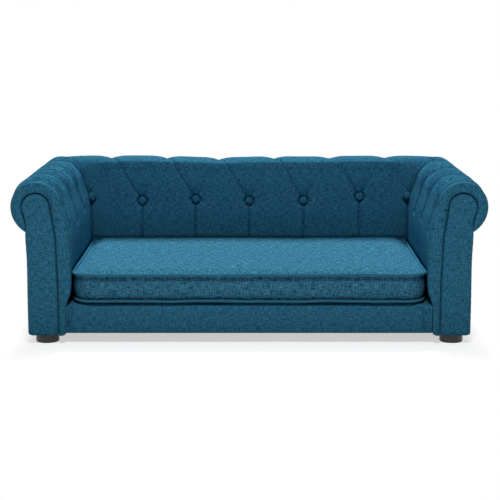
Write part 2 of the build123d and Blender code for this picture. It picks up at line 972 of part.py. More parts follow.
with BuildPart() as cushion_cover:
    add(cushion_form(0))
    add(cushion_form(cover_thickness), mode=Mode.SUBTRACT)
    zip_block(
        zip_tape_length + fit,
        zip_tape_width + fit,
        zip_seat,
        cushion_rear + overrun,
        mode=Mode.SUBTRACT,
    )
    zip_block(
        zip_chain_length,
        zip_chain_width,
        zip_seat - cover_thickness,
        cushion_rear,
        mode=Mode.SUBTRACT,
    )

with BuildPart() as zip_tape:
    zip_block(zip_tape_length, zip_tape_width, zip_seat, tape_face)

with BuildPart() as zip_chain:
    zip_block(zip_chain_length, zip_chain_width, tape_face, chain_face)

with BuildPart() as zip_slider:
    slider_x = zip_chain_length / 2 - slider_end_gap - slider_length / 2
    zip_block(
        slider_length,
        slider_width,
        tape_face + fit,
        chain_face + fit + slider_plate,
        centre=slider_x,
    )
    zip_block(
        slider_length + overrun,
        zip_chain_width + 2 * fit,
        tape_face,
        chain_face + fit,
        mode=Mode.SUBTRACT,
        centre=slider_x,
    )
    fillet(zip_slider.edges().filter_by(Axis.Y), slider_plate / 2)

# One file for each piece
os.makedirs("parts", exist_ok=True)
for piece, name in (
    (arm_cover, "arm_cover"),
    (arm_foam, "arm_foam"),
    (arm_facing, "arm_facing"),
    (arm_buttons, "arm_buttons"),
    (arm_ties, "arm_button_ties"),
    (scroll_board, "arm_scroll_board"),
    (arm_top_rail, "arm_top_rail"),
    (arm_inner_board, "arm_inner_board"),
    (arm_outer_board, "arm_outer_board"),
    (outside_arm_cover, "outside_arm_cover"),
    (rear_post, "rear_post"),
    (side_rail, "base_side_rail"),
):
    write_pair(piece.part, name)
for piece, name in (
    (back_cover, "back_cover"),
    (back_foam, "back_foam"),
    (back_buttons, "back_buttons"),
    (back_ties, "back_button_ties"),
    (tie_toggles, "tie_toggles"),
    (back_top_rail, "back_top_rail"),
    (back_inner_board, "back_inner_board"),
    (back_outer_board, "back_outer_board"),
    (outside_back_cover, "outside_back_cover"),
    (deck_slats, "deck_slats"),
    (deck_board, "deck_board"),
    (deck_pad, "deck_pad"),
    (front_rail_cover, "front_rail_cover"),
    (dust_cover, "dust_cover"),
    (frame_screws, "frame_screws"),
    (foot_bolts, "foot_bolts"),
    (foot_inserts, "foot_inserts"),
    (cushion_cover, "cushion_cover"),
    (zip_tape, "cushion_zip_tape"),
    (zip_chain, "cushion_zip_chain"),
    (zip_slider, "cushion_zip_slider"),
):
    write(piece.part, name)
write(cross_rail(front_rail_y, foot_front_y), "base_front_rail")
write(cross_rail(rear_rail_y, foot_rear_y), "base_rear_rail")
write(cushion_form(cover_thickness + fit), "cushion_foam")
write(piping(low_seam), "cushion_low_piping")
write(piping(high_seam), "cushion_high_piping")
for x, y in foot_places:
    end = "front" if y == foot_front_y else "rear"
    side = "left" if x < 0 else "right"
    write(foot(x, y), f"foot_{end}_{side}")
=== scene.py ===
import json
from math import cos, pi, radians, sin

import bpy
import numpy as np
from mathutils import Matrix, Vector


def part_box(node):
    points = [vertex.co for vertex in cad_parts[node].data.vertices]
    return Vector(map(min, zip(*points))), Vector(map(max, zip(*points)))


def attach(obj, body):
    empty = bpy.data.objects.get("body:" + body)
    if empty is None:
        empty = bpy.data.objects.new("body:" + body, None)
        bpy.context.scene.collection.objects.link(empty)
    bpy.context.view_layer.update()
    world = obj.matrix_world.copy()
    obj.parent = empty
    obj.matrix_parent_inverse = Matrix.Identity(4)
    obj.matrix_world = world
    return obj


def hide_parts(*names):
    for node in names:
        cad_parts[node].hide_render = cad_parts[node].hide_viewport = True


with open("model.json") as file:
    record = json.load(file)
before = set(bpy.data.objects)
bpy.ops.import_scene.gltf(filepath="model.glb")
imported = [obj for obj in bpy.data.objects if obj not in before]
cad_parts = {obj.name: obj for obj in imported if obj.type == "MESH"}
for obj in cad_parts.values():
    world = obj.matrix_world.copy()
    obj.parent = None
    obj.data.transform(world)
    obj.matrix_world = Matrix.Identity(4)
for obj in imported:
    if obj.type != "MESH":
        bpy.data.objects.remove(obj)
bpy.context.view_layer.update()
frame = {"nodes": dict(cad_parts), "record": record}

# Shapes are worked out in millimetres, and meshes are made in metres
MM = 0.001


def box_mm(node):
    low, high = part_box(node)
    return np.array(low) / MM, np.array(high) / MM


side_names = {-1: "left", 1: "right"}


def on_arm(side):
    """Turns runs, reaches and heights of an arm's cloth into places."""
    return lambda run, out, height: np.stack([side * (roll_x + out), run, height], -1)


def on_back(side):
    """The same for the back, with runs counted towards one side."""
    return lambda run, out, height: np.stack([side * run, roll_y + out, height], -1)


# Sizes and places that the frame gives
arm_low, arm_high = box_mm("arm_cover_right")
back_high = box_mm("back_cover")[1]
rail_low, rail_high = box_mm("front_rail_cover")
pad_low, pad_high = box_mm("deck_pad")
cushion_low, cushion_high = box_mm("cushion_cover")
dust_low, dust_high = box_mm("dust_cover")
board_front = box_mm("deck_board")[0][1]
front = arm_low[1]
skirt_bottom = arm_low[2]
deck_top = pad_low[2]

# Radius of the rolled tops, out to the face of their covers, and their centres
roll_radius = 47.3
roll_x = arm_high[0] - roll_radius
roll_y = back_high[1] - roll_radius
roll_z = arm_high[2] - roll_radius

# The section that the arms and the back share, outward from the centre of the roll
outside_reach = 19.3
under_radius = 51.0
head_radius = 28.3
neck_angle = -12.0
leave_angle = 160.0
arm_bottom = 15.8
inner_face = [(-52.0, 253.0), (-57.3, 234.0), (-60.8, 214.0), (-62.8, 194.0), (-63.7, 172.0)]
inner_face += [(-63.9, 140.0), (-63.3, 112.0), (-61.2, 96.0), (-57.0, 84.0), (-54.0, 75.0)]
inner_face += [(-52.7, 64.0), (-52.4, 45.0), (-52.0, arm_bottom + 5.0), (-50.0, arm_bottom + 1.0)]
inner_face += [(-46.0, arm_bottom), (-41.0, arm_bottom + 0.5)]

# Radius of the corner where an arm's outside turns into the back's
corner_round = 11.3

# The padded ring at the front of each arm, and the flat facing inside it
ring_depth = 10.0
ring_inner_round = 3.0
ring_outer_round = 6.0
ring_crown = 1.6
ring_full_width = 14.0
ring_pleat_angles = (35, 66, 96, 118, 139, 153, 171, 186, 196)
ring_pleat_stray = (-5, 5)
ring_pleat_depths = (1.6, 3.4)
ring_pleat_widths = (1.8, 3.0)
ring_end = 6.0
groove_gap = 2.9
groove_back = 8.8
groove_under = 4.2
facing_recess = 1.8
facing_edge = 3.2
facing_corner = 7.0
facing_dome = 1.3
facing_dome_edge = 11.0
facing_swells = ((205, 26, 1.2), (150, 40, -0.6))

# Tufts. Sewn by hand, they stray a little: each is a run along the cover and a rise above the row
tuft_height = 218.5
arm_tufts = {
    -1: [(front + 53.0, 1.0), (front + 171.0, -2.0), (front + 289.0, 1.5)],
    1: [(front + 55.0, -1.5), (front + 170.0, 2.0), (front + 287.0, 0.0)],
}
arm_valleys = {-1: [-154.0, -22.0, 92.0], 1: [-160.0, -38.0, 84.0]}
back_tufts = [(-232.8, 0.4), (-116.9, 3.3), (-0.4, -0.2), (118.1, 0.4), (239.9, 9.0)]
back_valleys = [-304.0, -182.0, -67.4, 54.1, 176.0, 298.0]
corner_rise = {-1: 10.0, 1: 12.0}
button_reach = 48.6
corner_button_reach = (60.0, 58.0)
valley_rise = 106.0
foot_rise = -215.0
first_valley = 12.0

# Where the mitre's creases start, and where the columns begin to fan towards it
mitre_reach = 56.0
fan_start = 8.0
fan_length = 120.0

# A crease is a tuple: start and end as (run, rise), widths of its bowl's two sides, width of its fold,
# then the depths of bowl and fold as (share of the line, depth). These are the parts after the ends
pleat_lean = 1.5
pleat_bowl = [(0, 4.5), (0.08, 2.6), (0.2, 1.6), (0.6, 1.2), (1, 1.0)]
pleat = ((26, 26), 2.0, pleat_bowl, [(0, 4.4), (0.5, 4.0), (0.65, 1.5), (1, 0.8)])
sharp_bowl = [(0, 4.5), (0.15, 2.6), (0.4, 1.3), (1, 1.0)]
sharp_diagonal = ((26, 16), 2.2, sharp_bowl, [(0, 3.8), (0.35, 3.4), (0.8, 3.0), (1, 1.6)])
faint_bowl = [(0, 4.5), (0.15, 2.8), (0.4, 1.2), (1, 0.8)]
faint_diagonal = ((20, 24), 1.5, faint_bowl, [(0, 2.4), (0.3, 1.0), (1, 0.3)])
arm_mitre_crease = ((26, 20), 1.5, [(0, 7), (0.3, 3), (1, 1.5)], [(0, 2), (1, 1)])
back_mitre_crease = ((24, 24), 1.5, [(0, 7), (0.3, 3), (1, 1.2)], [(0, 1.6), (1, 0.5)])
arm_diagonals = 1.3
back_diagonals = 1.0

# Valleys between the pillows: depth, depth of the fold, widths of the bowl
arm_valley = (10.0, 6.0, (15, 32))
back_valley = (5.5, 1.2, (34, 34))
valley_tail = 14.0
valley_fold_width = 1.8

# Gathers over the arms' rolls: span, number, depth
tuft_gathers = (56.0, 8, 4.8)
mitre_gathers = (48.0, 7, 4.8)
gather_start = (8, 34)
gather_bend = (72, 100)
gather_widths = ((10, 16), (4, 7))
gather_fold_width = 1.5

# The hollow round each button: a soft pit, and a steep well in its middle
pit_depth = 4.2
pit_half_width = 14
pit_half_above = 19
pit_half_below = 11
well_depth = 6.5
well_radii = (13.5, 9.0)
pucker_reach = 22
pucker_size = 0.35
pucker_waves = ((6, 1.0), (11, 0.7), (17, 0.5))

# The mitre between an arm and the back: depth at each rise above its button, and its fold
mitre_rises = [-230, -20, 0, 25, 70, 110]
mitre_depths = [3, 4, 6, 5, 3, 1.5]
mitre_half_width = 30
mitre_fold = 3.0
mitre_fold_width = 2.2
mitre_pit = 4.0
mitre_pit_half_width = 10
mitre_pit_half_height = 15

# Rises where the covers run down to the deck, and where the cushion presses against them
deck_fade = (-168, -140)
cushion_band = (-72, -84)
back_pressed = 3.0
arm_pressed = 3.0
arm_pressed_more = 0.5
pressed_from_front = (14, 40)

# The arms swell over the roll, and their faces draw in towards the back: depth, runs, rises
draw_from_front = (5, 34)
swell_from_front = (8, 60)
swell_width = 46
crest_swell = 2.5
crest_band = (90, 30)
face_draws = ((3.5, (30, 90), (5, 55)), (2.2, (95, 135), (12, 26)))
arm_to_mitre = (0, 45)
back_to_mitre = (4, 70)

# Behind the front board the covers end at the deck, and their lowest rows gather there
gathered_rows = 6
deck_gap = 0.6
turned_under = -52
lower_face = -52.3

# The roll of the back sags a little in two places: run, width and depth
back_sags = ((-60, 90, 3.6), (130, 80, 1.6))

# Unevenness of the cloth: depth, size of the lumps, seed
cover_noise = ((0.6, 60.0, 5), (0.25, 19.0, 6))
ring_noise = (0.35, 24.0, 8)
facing_noise = (0.4, 30.0, 7)
underside_noise = (0.3, 60.0, 3)
deck_noise = (0.2, 40.0, 5)
rail_noise = ((0.5, 45.0, 21), (0.2, 14.0, 22))
crown_noise = ((0.9, 100.0, 31), (0.45, 34.0, 32))
rim_noise = (0.6, 16.0, 35)
wide_boxing_noise = (0.8, 30.0, 33)
fine_boxing_noise = (0.45, 11.0, 34)

grid_step = 1.9


def value_noise(points, size, seed):
    """Smooth noise from -1 to 1 at points in millimetres, with lumps of about that size."""
    points = np.asarray(points, float) / size
    cell = np.floor(points).astype(np.int64)
    part = points - cell
    part = part * part * (3 - 2 * part)
    total = np.zeros(points.shape[:-1])
    for corner in range(8):
        offset = np.array([(corner >> k) & 1 for k in range(3)])
        key = (cell + offset) * np.array([73856093, 19349663, 83492791])
        mixed = (key[..., 0] ^ key[..., 1] ^ key[..., 2]) + seed * 2654435761
        mixed = (mixed ^ (mixed >> 13)) * 1274126177
        mixed = (mixed ^ (mixed >> 16)) & 0xFFFFFF
        weight = np.prod(np.where(offset, part, 1 - part), axis=-1)
        total += weight * (mixed / 0x7FFFFF - 1)
    return total


def lumps(points, *layers):
    """Unevenness of cloth: noises on top of each other, each with its depth, size and seed."""
    return sum(depth * value_noise(points, size, seed) for depth, size, seed in layers)


def smooth_step(x, low, high):
    share = np.clip((x - low) / (high - low), 0, 1)
    return share * share * (3 - 2 * share)


def bell(x, centre, width):
    return np.exp(-(((x - centre) / width) ** 2))


def lengths(line):
    """Distance along a line of points, from its start."""
    return np.concatenate([[0], np.cumsum(np.linalg.norm(np.diff(line, axis=0), axis=1))])


def even_line(line, step):
    along = lengths(line)
    at = np.linspace(0, along[-1], max(2, int(round(along[-1] / step)) + 1))
    return np.stack([np.interp(at, along, line[:, k]) for k in range(line.shape[1])], 1)


def smooth_line(points, step):
    """A curve through points, resampled evenly."""
    points = np.array(points, float)
    ends = np.vstack([2 * points[0] - points[1], points, 2 * points[-1] - points[-2]])
    u = np.linspace(0, 1, 12, endpoint=False)[:, None]
    dense = []
    for a, b, c, d in zip(ends, ends[1:], ends[2:], ends[3:]):
        bend = 2 * a - 5 * b + 4 * c - d
        twist = 3 * b - a - 3 * c + d
        dense.append(0.5 * (2 * b + (c - a) * u + bend * u**2 + twist * u**3))
    return even_line(np.vstack([*dense, points[-1:]]), step)


def cloth_mesh(name, points, cloth, material, outward, closed=False):
    """A sheet of quads from rows and columns of points. cloth holds thread coordinates."""
    rows, columns = points.shape[:2]
    index = np.arange(rows * columns).reshape(rows, columns)
    if closed:
        index = np.concatenate([index, index[:, :1]], axis=1)
    faces = np.stack([index[:-1, :-1], index[:-1, 1:], index[1:, 1:], index[1:, :-1]], -1)
    faces = faces.reshape(-1, 4)
    flat = points.reshape(-1, 3)
    a, b, c = (flat[faces[:, k]] for k in (0, 1, 2))
    wanted = np.broadcast_to(outward, points.shape).reshape(-1, 3)[faces[:, 0]]
    if (np.cross(b - a, c - a) * wanted).sum() < 0:
        faces = faces[:, ::-1]
    mesh = bpy.data.meshes.new(name)
    mesh.from_pydata((flat * MM).tolist(), [], faces.tolist())
    threads = mesh.attributes.new("cloth", "FLOAT_VECTOR", "POINT")
    coordinates = np.zeros((len(flat), 3), np.float32)
    coordinates[:, :2] = cloth.reshape(-1, 2) * MM
    threads.data.foreach_set("vector", coordinates.ravel())
    mesh.validate()
    mesh.shade_smooth()
    piece = bpy.data.objects.new(name, mesh)
    bpy.context.scene.collection.objects.link(piece)
    mesh.materials.append(material)
    return piece


def join_meshes(name, pieces):
    """One object from several, keeping their materials and thread coordinates."""
    bpy.ops.object.select_all(action="DESELECT")
    for piece in pieces:
        piece.select_set(True)
    bpy.context.view_layer.objects.active = pieces[0]
    bpy.ops.object.join()
    joined = bpy.context.view_layer.objects.active
    joined.name = name
    joined.data.name = name
    return joined


def place_piece(piece, node, body="sofa"):
    """The piece stands for a node and rides on a body."""
    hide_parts(node)
    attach(piece, body)


# Materials


def new_material(name):
    material = bpy.data.materials.new(name)
    material.use_nodes = True
    tree = material.node_tree
    return material, tree, tree.nodes["Principled BSDF"]


def add_node(tree, kind, **inputs):
    made = tree.nodes.new(kind)
    for key, value in inputs.items():
        made.inputs[key].default_value = value
    return made


def feed(tree, sockets, values):
    """Sets each input to its number, or links it to its output."""
    for socket, value in zip(sockets, values):
        if isinstance(value, (int, float)):
            socket.default_value = value
        else:
            tree.links.new(value, socket)


def math_node(tree, operation, *values):
    made = tree.nodes.new("ShaderNodeMath")
    made.operation = operation
    feed(tree, made.inputs, values)
    return made.outputs[0]


def colour_ramp(tree, factor, stops):
    ramp = tree.nodes.new("ShaderNodeValToRGB")
    elements = ramp.color_ramp.elements
    while len(elements) < len(stops):
        elements.new(0.5)
    for element, (place, colour) in zip(elements, stops):
        element.position = place
        element.color = (*colour, 1)
    tree.links.new(factor, ramp.inputs["Fac"])
    return ramp.outputs["Color"]


def mix_colours(tree, factor, first, second, blend="MIX"):
    mix = tree.nodes.new("ShaderNodeMix")
    mix.data_type = "RGBA"
    mix.blend_type = blend
    feed(tree, [mix.inputs[k] for k in (0, 6, 7)], (factor, first, second))
    return mix.outputs[2]


def stretched_noise(tree, vector, scales, detail=2.0):
    """Noise whose lumps have a different size along each axis."""
    stretch = tree.nodes.new("ShaderNodeVectorMath")
    stretch.operation = "MULTIPLY"
    tree.links.new(vector, stretch.inputs[0])
    stretch.inputs[1].default_value = scales
    made = add_node(tree, "ShaderNodeTexNoise", Scale=1.0, Detail=detail, Roughness=0.55)
    tree.links.new(stretch.outputs[0], made.inputs["Vector"])
    return made.outputs[0]


def add_bump(tree, shader, heights, depth):
    bump = add_node(tree, "ShaderNodeBump", Strength=0.25, Distance=depth)
    tree.links.new(heights, bump.inputs["Height"])
    tree.links.new(bump.outputs["Normal"], shader.inputs["Normal"])


# How much darker the darkest and the lightest threads are than their cloth, in red, green and blue
dark_threads = (0.62, 0.5, 0.45)
light_threads = (-0.9, -0.6, -0.5)


def cloth_material(name, colour, contrast=0.95, thread=0.9 * MM, slub=10.0 * MM):
    """Heathered plain weave: two sets of uneven threads, crossing over and under."""
    material, tree, shader = new_material(name)
    threads = tree.nodes.new("ShaderNodeAttribute")
    threads.attribute_name = "cloth"
    vector = threads.outputs["Vector"]
    split = tree.nodes.new("ShaderNodeSeparateXYZ")
    tree.links.new(vector, split.inputs[0])
    waves = [
        math_node(tree, "SINE", math_node(tree, "MULTIPLY", split.outputs[axis], pi / thread))
        for axis in ("X", "Y")
    ]
    crossing = math_node(tree, "MULTIPLY", *waves)
    over = math_node(tree, "MULTIPLY_ADD", crossing, 0.5, 0.5)
    stops = []
    for share, darks in ((1, dark_threads), (0, (0, 0, 0)), (-1, light_threads)):
        dyed = tuple(max(c * (1 - contrast * dark), 0.0) for c, dark in zip(colour, darks))
        stops.append((0.5 - 0.13 * share, dyed))
    warp_noise = stretched_noise(tree, vector, (0.5 / thread, 1 / slub, 1.0))
    weft_noise = stretched_noise(tree, vector, (1 / slub, 0.5 / thread, 1.0))
    warp, weft = colour_ramp(tree, warp_noise, stops), colour_ramp(tree, weft_noise, stops)
    woven = mix_colours(tree, over, warp, weft)
    mottle = stretched_noise(tree, vector, (70.0, 70.0, 1.0), 3.0)
    shade = colour_ramp(tree, mottle, [(0.3, (0.93, 0.93, 0.94)), (0.7, (1.07, 1.06, 1.06))])
    tree.links.new(mix_colours(tree, 1.0, woven, shade, "MULTIPLY"), shader.inputs["Base Color"])
    heights = math_node(tree, "ADD", math_node(tree, "ABSOLUTE", crossing), warp_noise)
    add_bump(tree, shader, heights, 0.2 * MM)
    shader.inputs["Roughness"].default_value = 1.0
    shader.inputs["Specular IOR Level"].default_value = 0.0
    return material


def grained_material(name, dark, light, scales, roughness, metallic=0.0, bump_depth=0.2 * MM):
    """Solid material whose colour and surface vary with a stretched noise."""
    material, tree, shader = new_material(name)
    place = tree.nodes.new("ShaderNodeTexCoord")
    grain = stretched_noise(tree, place.outputs["Object"], scales, 4.0)
    tree.links.new(colour_ramp(tree, grain, [(0.3, dark), (0.7, light)]), shader.inputs["Base Color"])
    add_bump(tree, shader, grain, bump_depth)
    rough = math_node(tree, "MULTIPLY_ADD", grain, 0.15, roughness)
    tree.links.new(rough, shader.inputs["Roughness"])
    shader.inputs["Metallic"].default_value = metallic
    return material


upholstery = cloth_material("upholstery_weave", (0.033, 0.175, 0.290))
seat_cloth = cloth_material("seat_weave", (0.042, 0.188, 0.300), 1.35, 1.0 * MM, 13.0 * MM)
piping_cloth = cloth_material("piping_weave", (0.036, 0.185, 0.300), slub=4 * MM)
dust_cloth = cloth_material("dust_weave", (0.014, 0.014, 0.014))

# Materials of the CAD nodes that stay, by their slot: colours, scales of the grain, roughness
every_way = np.ones(3)
node_materials = {
    "foam": ("foam_cells", (0.70, 0.66, 0.52), (0.86, 0.83, 0.72), 700.0 * every_way, 0.85),
    "timber": ("sawn_timber", (0.52, 0.36, 0.20), (0.76, 0.60, 0.40), (40.0, 9.0, 120.0), 0.6),
    "board": ("plywood", (0.50, 0.36, 0.22), (0.70, 0.55, 0.36), (14.0, 90.0, 30.0), 0.6),
    "steel": ("zinc_steel", (0.45, 0.45, 0.46), (0.66, 0.66, 0.67), 300.0 * every_way, 0.3, 1.0),
    "twine": ("waxed_twine", (0.60, 0.56, 0.48), (0.80, 0.77, 0.70), (900.0, 900.0, 300.0), 0.7),
    "zip": ("zip_nylon", (0.020, 0.09, 0.14), (0.04, 0.16, 0.23), 800.0 * every_way, 0.4),
}
node_materials = {slot: grained_material(*given) for slot, given in node_materials.items()}
node_materials["foot_plastic"] = grained_material(
    "foot_plastic", (0.014, 0.013, 0.012), (0.026, 0.025, 0.024), 60.0 * every_way, 0.28, 0.0, 0.05 * MM
)


# The section of the tufted covers


def on_roll(radius, angle):
    """Point round the roll, which hangs a little lower on its outer underside."""
    drop = under_radius / roll_radius if angle < 0 else 1.0
    return (radius * cos(radians(angle)), roll_z + radius * drop * sin(radians(angle)))


tuck_angle = -np.degrees(np.arccos(outside_reach / roll_radius))
tuck = on_roll(roll_radius, tuck_angle)

# The facing's border: where it meets the roll on either side, and its leg below that
neck = np.array(on_roll(head_radius, neck_angle))
leave = on_roll(head_radius, leave_angle)
leg_z = [arm_bottom, 108.0, 206.0, leave[1]]
leg_x = [-40.0, -40.0, -36.8, leave[0]]


def outer_profile():
    """From the tuck under the roll, over it, down the inner face, and turned under at the floor."""
    roll = [on_roll(roll_radius, a) for a in np.linspace(tuck_angle, leave_angle - 5, 36)]
    return smooth_line([*roll, on_roll(roll_radius + 0.3, leave_angle + 2), *inner_face], grid_step)


def inner_profile(outer):
    """Where the front ring ends at the groove round the facing, row by row."""
    inner = np.zeros_like(outer)
    swell = np.array([(tuck[0] + neck[0]) / 2 - 3.0, (tuck[1] + neck[1]) / 2])
    top = on_roll(roll_radius, leave_angle)[1]
    for i, (x, z) in enumerate(outer):
        angle = np.degrees(np.arctan2(z - roll_z, x)) % 360
        angle = angle - 360 if angle > 270 else angle
        if x < 0 and z < top:
            height = leave[1] - (top - z) / (top - arm_bottom) * (leave[1] - arm_bottom)
            inner[i] = np.interp(height, leg_z, leg_x), height
        elif angle < neck_angle:
            u = np.clip((angle - tuck_angle) / (neck_angle - tuck_angle), 0, 1)
            inner[i] = (1 - u) ** 2 * np.array(tuck) + 2 * u * (1 - u) * swell + u * u * neck
        else:
            inner[i] = on_roll(head_radius, angle)
    return inner


outer = outer_profile()
inner = inner_profile(outer)
tangent = np.gradient(outer, axis=0)
tangent /= np.linalg.norm(tangent, axis=1)[:, None]
section_normal = np.stack([tangent[:, 1], -tangent[:, 0]], 1)
on_inner_face = (outer[:, 0] < 0) & (outer[:, 1] < roll_z)
button_row = np.argmin(np.where(on_inner_face, abs(outer[:, 1] - tuft_height), 1e9))
rise = lengths(outer)[button_row] - lengths(outer)
roll_angle = np.degrees(np.arctan2(outer[:, 1] - roll_z, outer[:, 0]))


def rise_at(angle):
    return rise[np.argmin(abs(roll_angle - angle))]


top_rise = rise_at(90)
shoulder_rise = rise_at(48)
end_rise = rise[0]

# How much fuller the back's upper face is than the roll, from its buttons to its top
fuller_angles = ((158, 9.0), (150, 13.0), (141, 16.0), (132, 13.5), (122, 9.0), (112, 4.5), (100, 1.0))
fuller_rises = [(0.0, 0.0), (18.0, 2.0), (38.0, 6.0)]
fuller_rises += [(rise_at(angle), full) for angle, full in fuller_angles]


def mirrored(crease):
    (start_run, start_rise), (end_run, end_rise), widths, *rest = crease
    return ((-start_run, start_rise), (-end_run, end_rise), widths[::-1], *rest)


def draw_of(creases, run, rises):
    """How far all creases together draw the cover in."""
    power = 4
    bowls = np.zeros(run.shape)
    folds = np.zeros(run.shape)
    for start, end, widths, fold_width, bowl, fold in creases:
        line = np.subtract(end, start)
        share = ((run - start[0]) * line[0] + (rises - start[1]) * line[1]) / (line @ line)
        share = np.clip(share, 0, 1)
        across_run = run - start[0] - share * line[0]
        across_rise = rises - start[1] - share * line[1]
        distance = np.hypot(across_run, across_rise)
        width = np.where(across_run * line[1] > across_rise * line[0], widths[1], widths[0])
        bowls += (np.interp(share, *zip(*bowl)) * np.clip(1 - distance / width, 0, 1) ** 2) ** power
        folds = np.maximum(folds, np.interp(share, *zip(*fold)) * bell(distance, 0, fold_width))
    return bowls ** (1 / power) + folds


def tuft_creases(run, rises, before, after, strength):
    """One tuft: its pleat to the deck, and diagonals to the valleys before and after it."""
    lines = (
        (pleat, (run - pleat_lean, foot_rise), 1.0),
        (sharp_diagonal, (before, valley_rise), strength),
        (faint_diagonal, (after, valley_rise), strength),
    )
    made = []
    for (widths, fold_width, bowl, fold), end, strong in lines:
        fold = fold[:1] + [(share, depth * strong) for share, depth in fold[1:]]
        made.append(((run, rises), end, widths, fold_width, bowl, fold))
    return made


def valley_crease(run, depth, fold, widths):
    """Line where two pillows meet on the roll's top."""
    start, end = (run, valley_rise - valley_tail), (run, end_rise)
    at = (top_rise - start[1]) / (end[1] - start[1])
    bowl = [(0, 1.0), (at * 0.6, depth * 0.8), (at, depth), (1, depth * 0.4)]
    sharp = [(0, 0.6), (at * 0.7, fold), (at + 0.15, fold), (1, fold * 0.4)]
    return (start, end, widths, valley_fold_width, bowl, sharp)


def gathers(tuft_run, tuft_rise, seed, span, number, depth):
    """Fine folds that fan up from a button over the roll."""
    random = np.random.default_rng(seed)
    made = []
    for i in range(number):
        share = (i + 0.5) / number * 2 - 1 + random.uniform(-0.12, 0.12)
        top_run = tuft_run + share * span
        low = random.uniform(*gather_start)
        bend = random.uniform(*gather_bend)
        start = (tuft_run + share * span * low / bend, tuft_rise + low)
        deep = depth * random.uniform(0.5, 1.3)
        sharp = 0.6 * deep
        widths = [random.uniform(*width) for width in gather_widths]
        over_run = top_run + random.uniform(-5, 5)
        over = (over_run, random.uniform(shoulder_rise - 20, shoulder_rise + 30))
        top = (top_run, bend)
        bowl, fold = ([(0, 0), (0.5, depths), (1, depths)] for depths in (deep, sharp))
        made.append((start, top, widths, gather_fold_width, bowl, fold))
        bowl, fold = ([(0, depths), (0.6, depths), (1, 0)] for depths in (deep, sharp))
        made.append((top, over, widths, gather_fold_width, bowl, fold))
    return made


def pit(run, rises, place):
    """Hollow that a button is pulled into, deepest just above it."""
    across = run - place[0]
    up = rises - place[1]
    tall = np.where(up > 2, pit_half_above, pit_half_below)
    hollow = pit_depth * np.exp(-((across / pit_half_width) ** 2) - ((up - 2) / tall) ** 2)
    return hollow + well_depth * smooth_step(np.hypot(across, up), *well_radii)


def puckers(run, rises, place, seed):
    """Small folds that fan out from a button."""
    phases = np.random.default_rng(seed).uniform(0, 2 * pi, 3)
    distance = np.hypot(run - place[0], rises - place[1])
    angle = np.arctan2(rises - place[1], run - place[0])
    waves = sum(high * np.cos(k * angle + phase) for (k, high), phase in zip(pucker_waves, phases))
    return pucker_size * waves * smooth_step(distance, 7, 18) * bell(distance, 12, pucker_reach)


def corner_path(centre, start, columns, share, reach):
    """Along and out of columns that run straight and then turn the rounded corner up to the mitre.

    Also how far each point is from the mitre."""
    straight = centre + np.minimum(reach, corner_round) - start
    bend = np.maximum(reach - corner_round, 0)
    at = share * (straight + bend * pi / 4)
    angle = np.clip(np.where(bend > 0, (at - straight) / np.maximum(bend, 1e-6), 0), 0, pi / 4)
    along = np.where(at <= straight, start + at, centre + corner_round + bend * np.sin(angle))
    out = np.where(at <= straight, reach, corner_round + bend * np.cos(angle))
    along[:, : len(columns)] = columns
    return along, out, straight + bend * pi / 4 - at


def cover_grid(columns, corner, creases, tufts, end_lift, seed, place, shape):
    """Grid of a cover from its first column to the mitre, with all its tufts drawn in.

    corner is (centre, start): where the roll's centre turns, and where the columns begin to fan."""
    centre, start = corner
    fan = np.linspace(0, 1, int((roll_radius + fan_length) / grid_step))[1:]
    share = np.concatenate([np.zeros(len(columns)), fan])[None].repeat(len(outer), 0)
    reach, height, rises = (line[:, None] + 0 * share for line in (*outer.T, rise))
    run, out, left = corner_path(centre, start, columns, share, reach)
    draw = draw_of(creases, run, rises)
    for i, tuft in enumerate(tufts):
        draw += pit(run, rises, tuft) + puckers(run, rises, tuft, seed + i)
    beside = np.where(share > 0, left, 1e3)
    above = rises - end_lift
    depth = np.interp(above, mitre_rises, mitre_depths)
    mitre = depth * np.clip(1 - beside / mitre_half_width, 0, 1) ** 2
    sewn = mitre_fold * np.interp(above, [40, 90], [1, 0.3]) * bell(beside, 0, mitre_fold_width)
    draw = np.maximum(draw, mitre) + sewn
    draw += mitre_pit * bell(beside, 0, mitre_pit_half_width) * bell(above, 2, mitre_pit_half_height)
    flat = place(run, out, height)
    draw -= lumps(flat, *cover_noise)
    draw = shape(run, rises, draw, beside)
    drawn_reach = reach - section_normal[:, :1] * draw
    drawn_height = height - section_normal[:, 1:] * draw
    along, out, _ = corner_path(centre, start, columns, share, drawn_reach)
    ends = deck_top + gathered_rows
    low = (drawn_height < ends) & (place(along, out, drawn_height)[..., 1] > board_front - 4)
    squeezed = (drawn_height - arm_bottom) / (ends - arm_bottom) * (gathered_rows - deck_gap)
    drawn_height = np.where(low, deck_top + deck_gap + squeezed, drawn_height)
    out = np.where(low & (out > turned_under), lower_face, out)
    return place(along, out, drawn_height)


def finer_at(columns, lines):
    """Columns with more of them beside each of the lines."""
    extra = [line + offset for line in lines for offset in (-2.4, -1.4, -0.7, 0, 0.7, 1.4, 2.4)]
    extra = [run for run in extra if columns[0] < run < columns[-1]]
    return np.unique(np.concatenate([columns, extra]).round(2))


def thread_coordinates(points):
    row = np.argmin(abs(rise - valley_rise))
    return np.stack(np.broadcast_arrays(lengths(points[row]), rise[:, None]), -1)


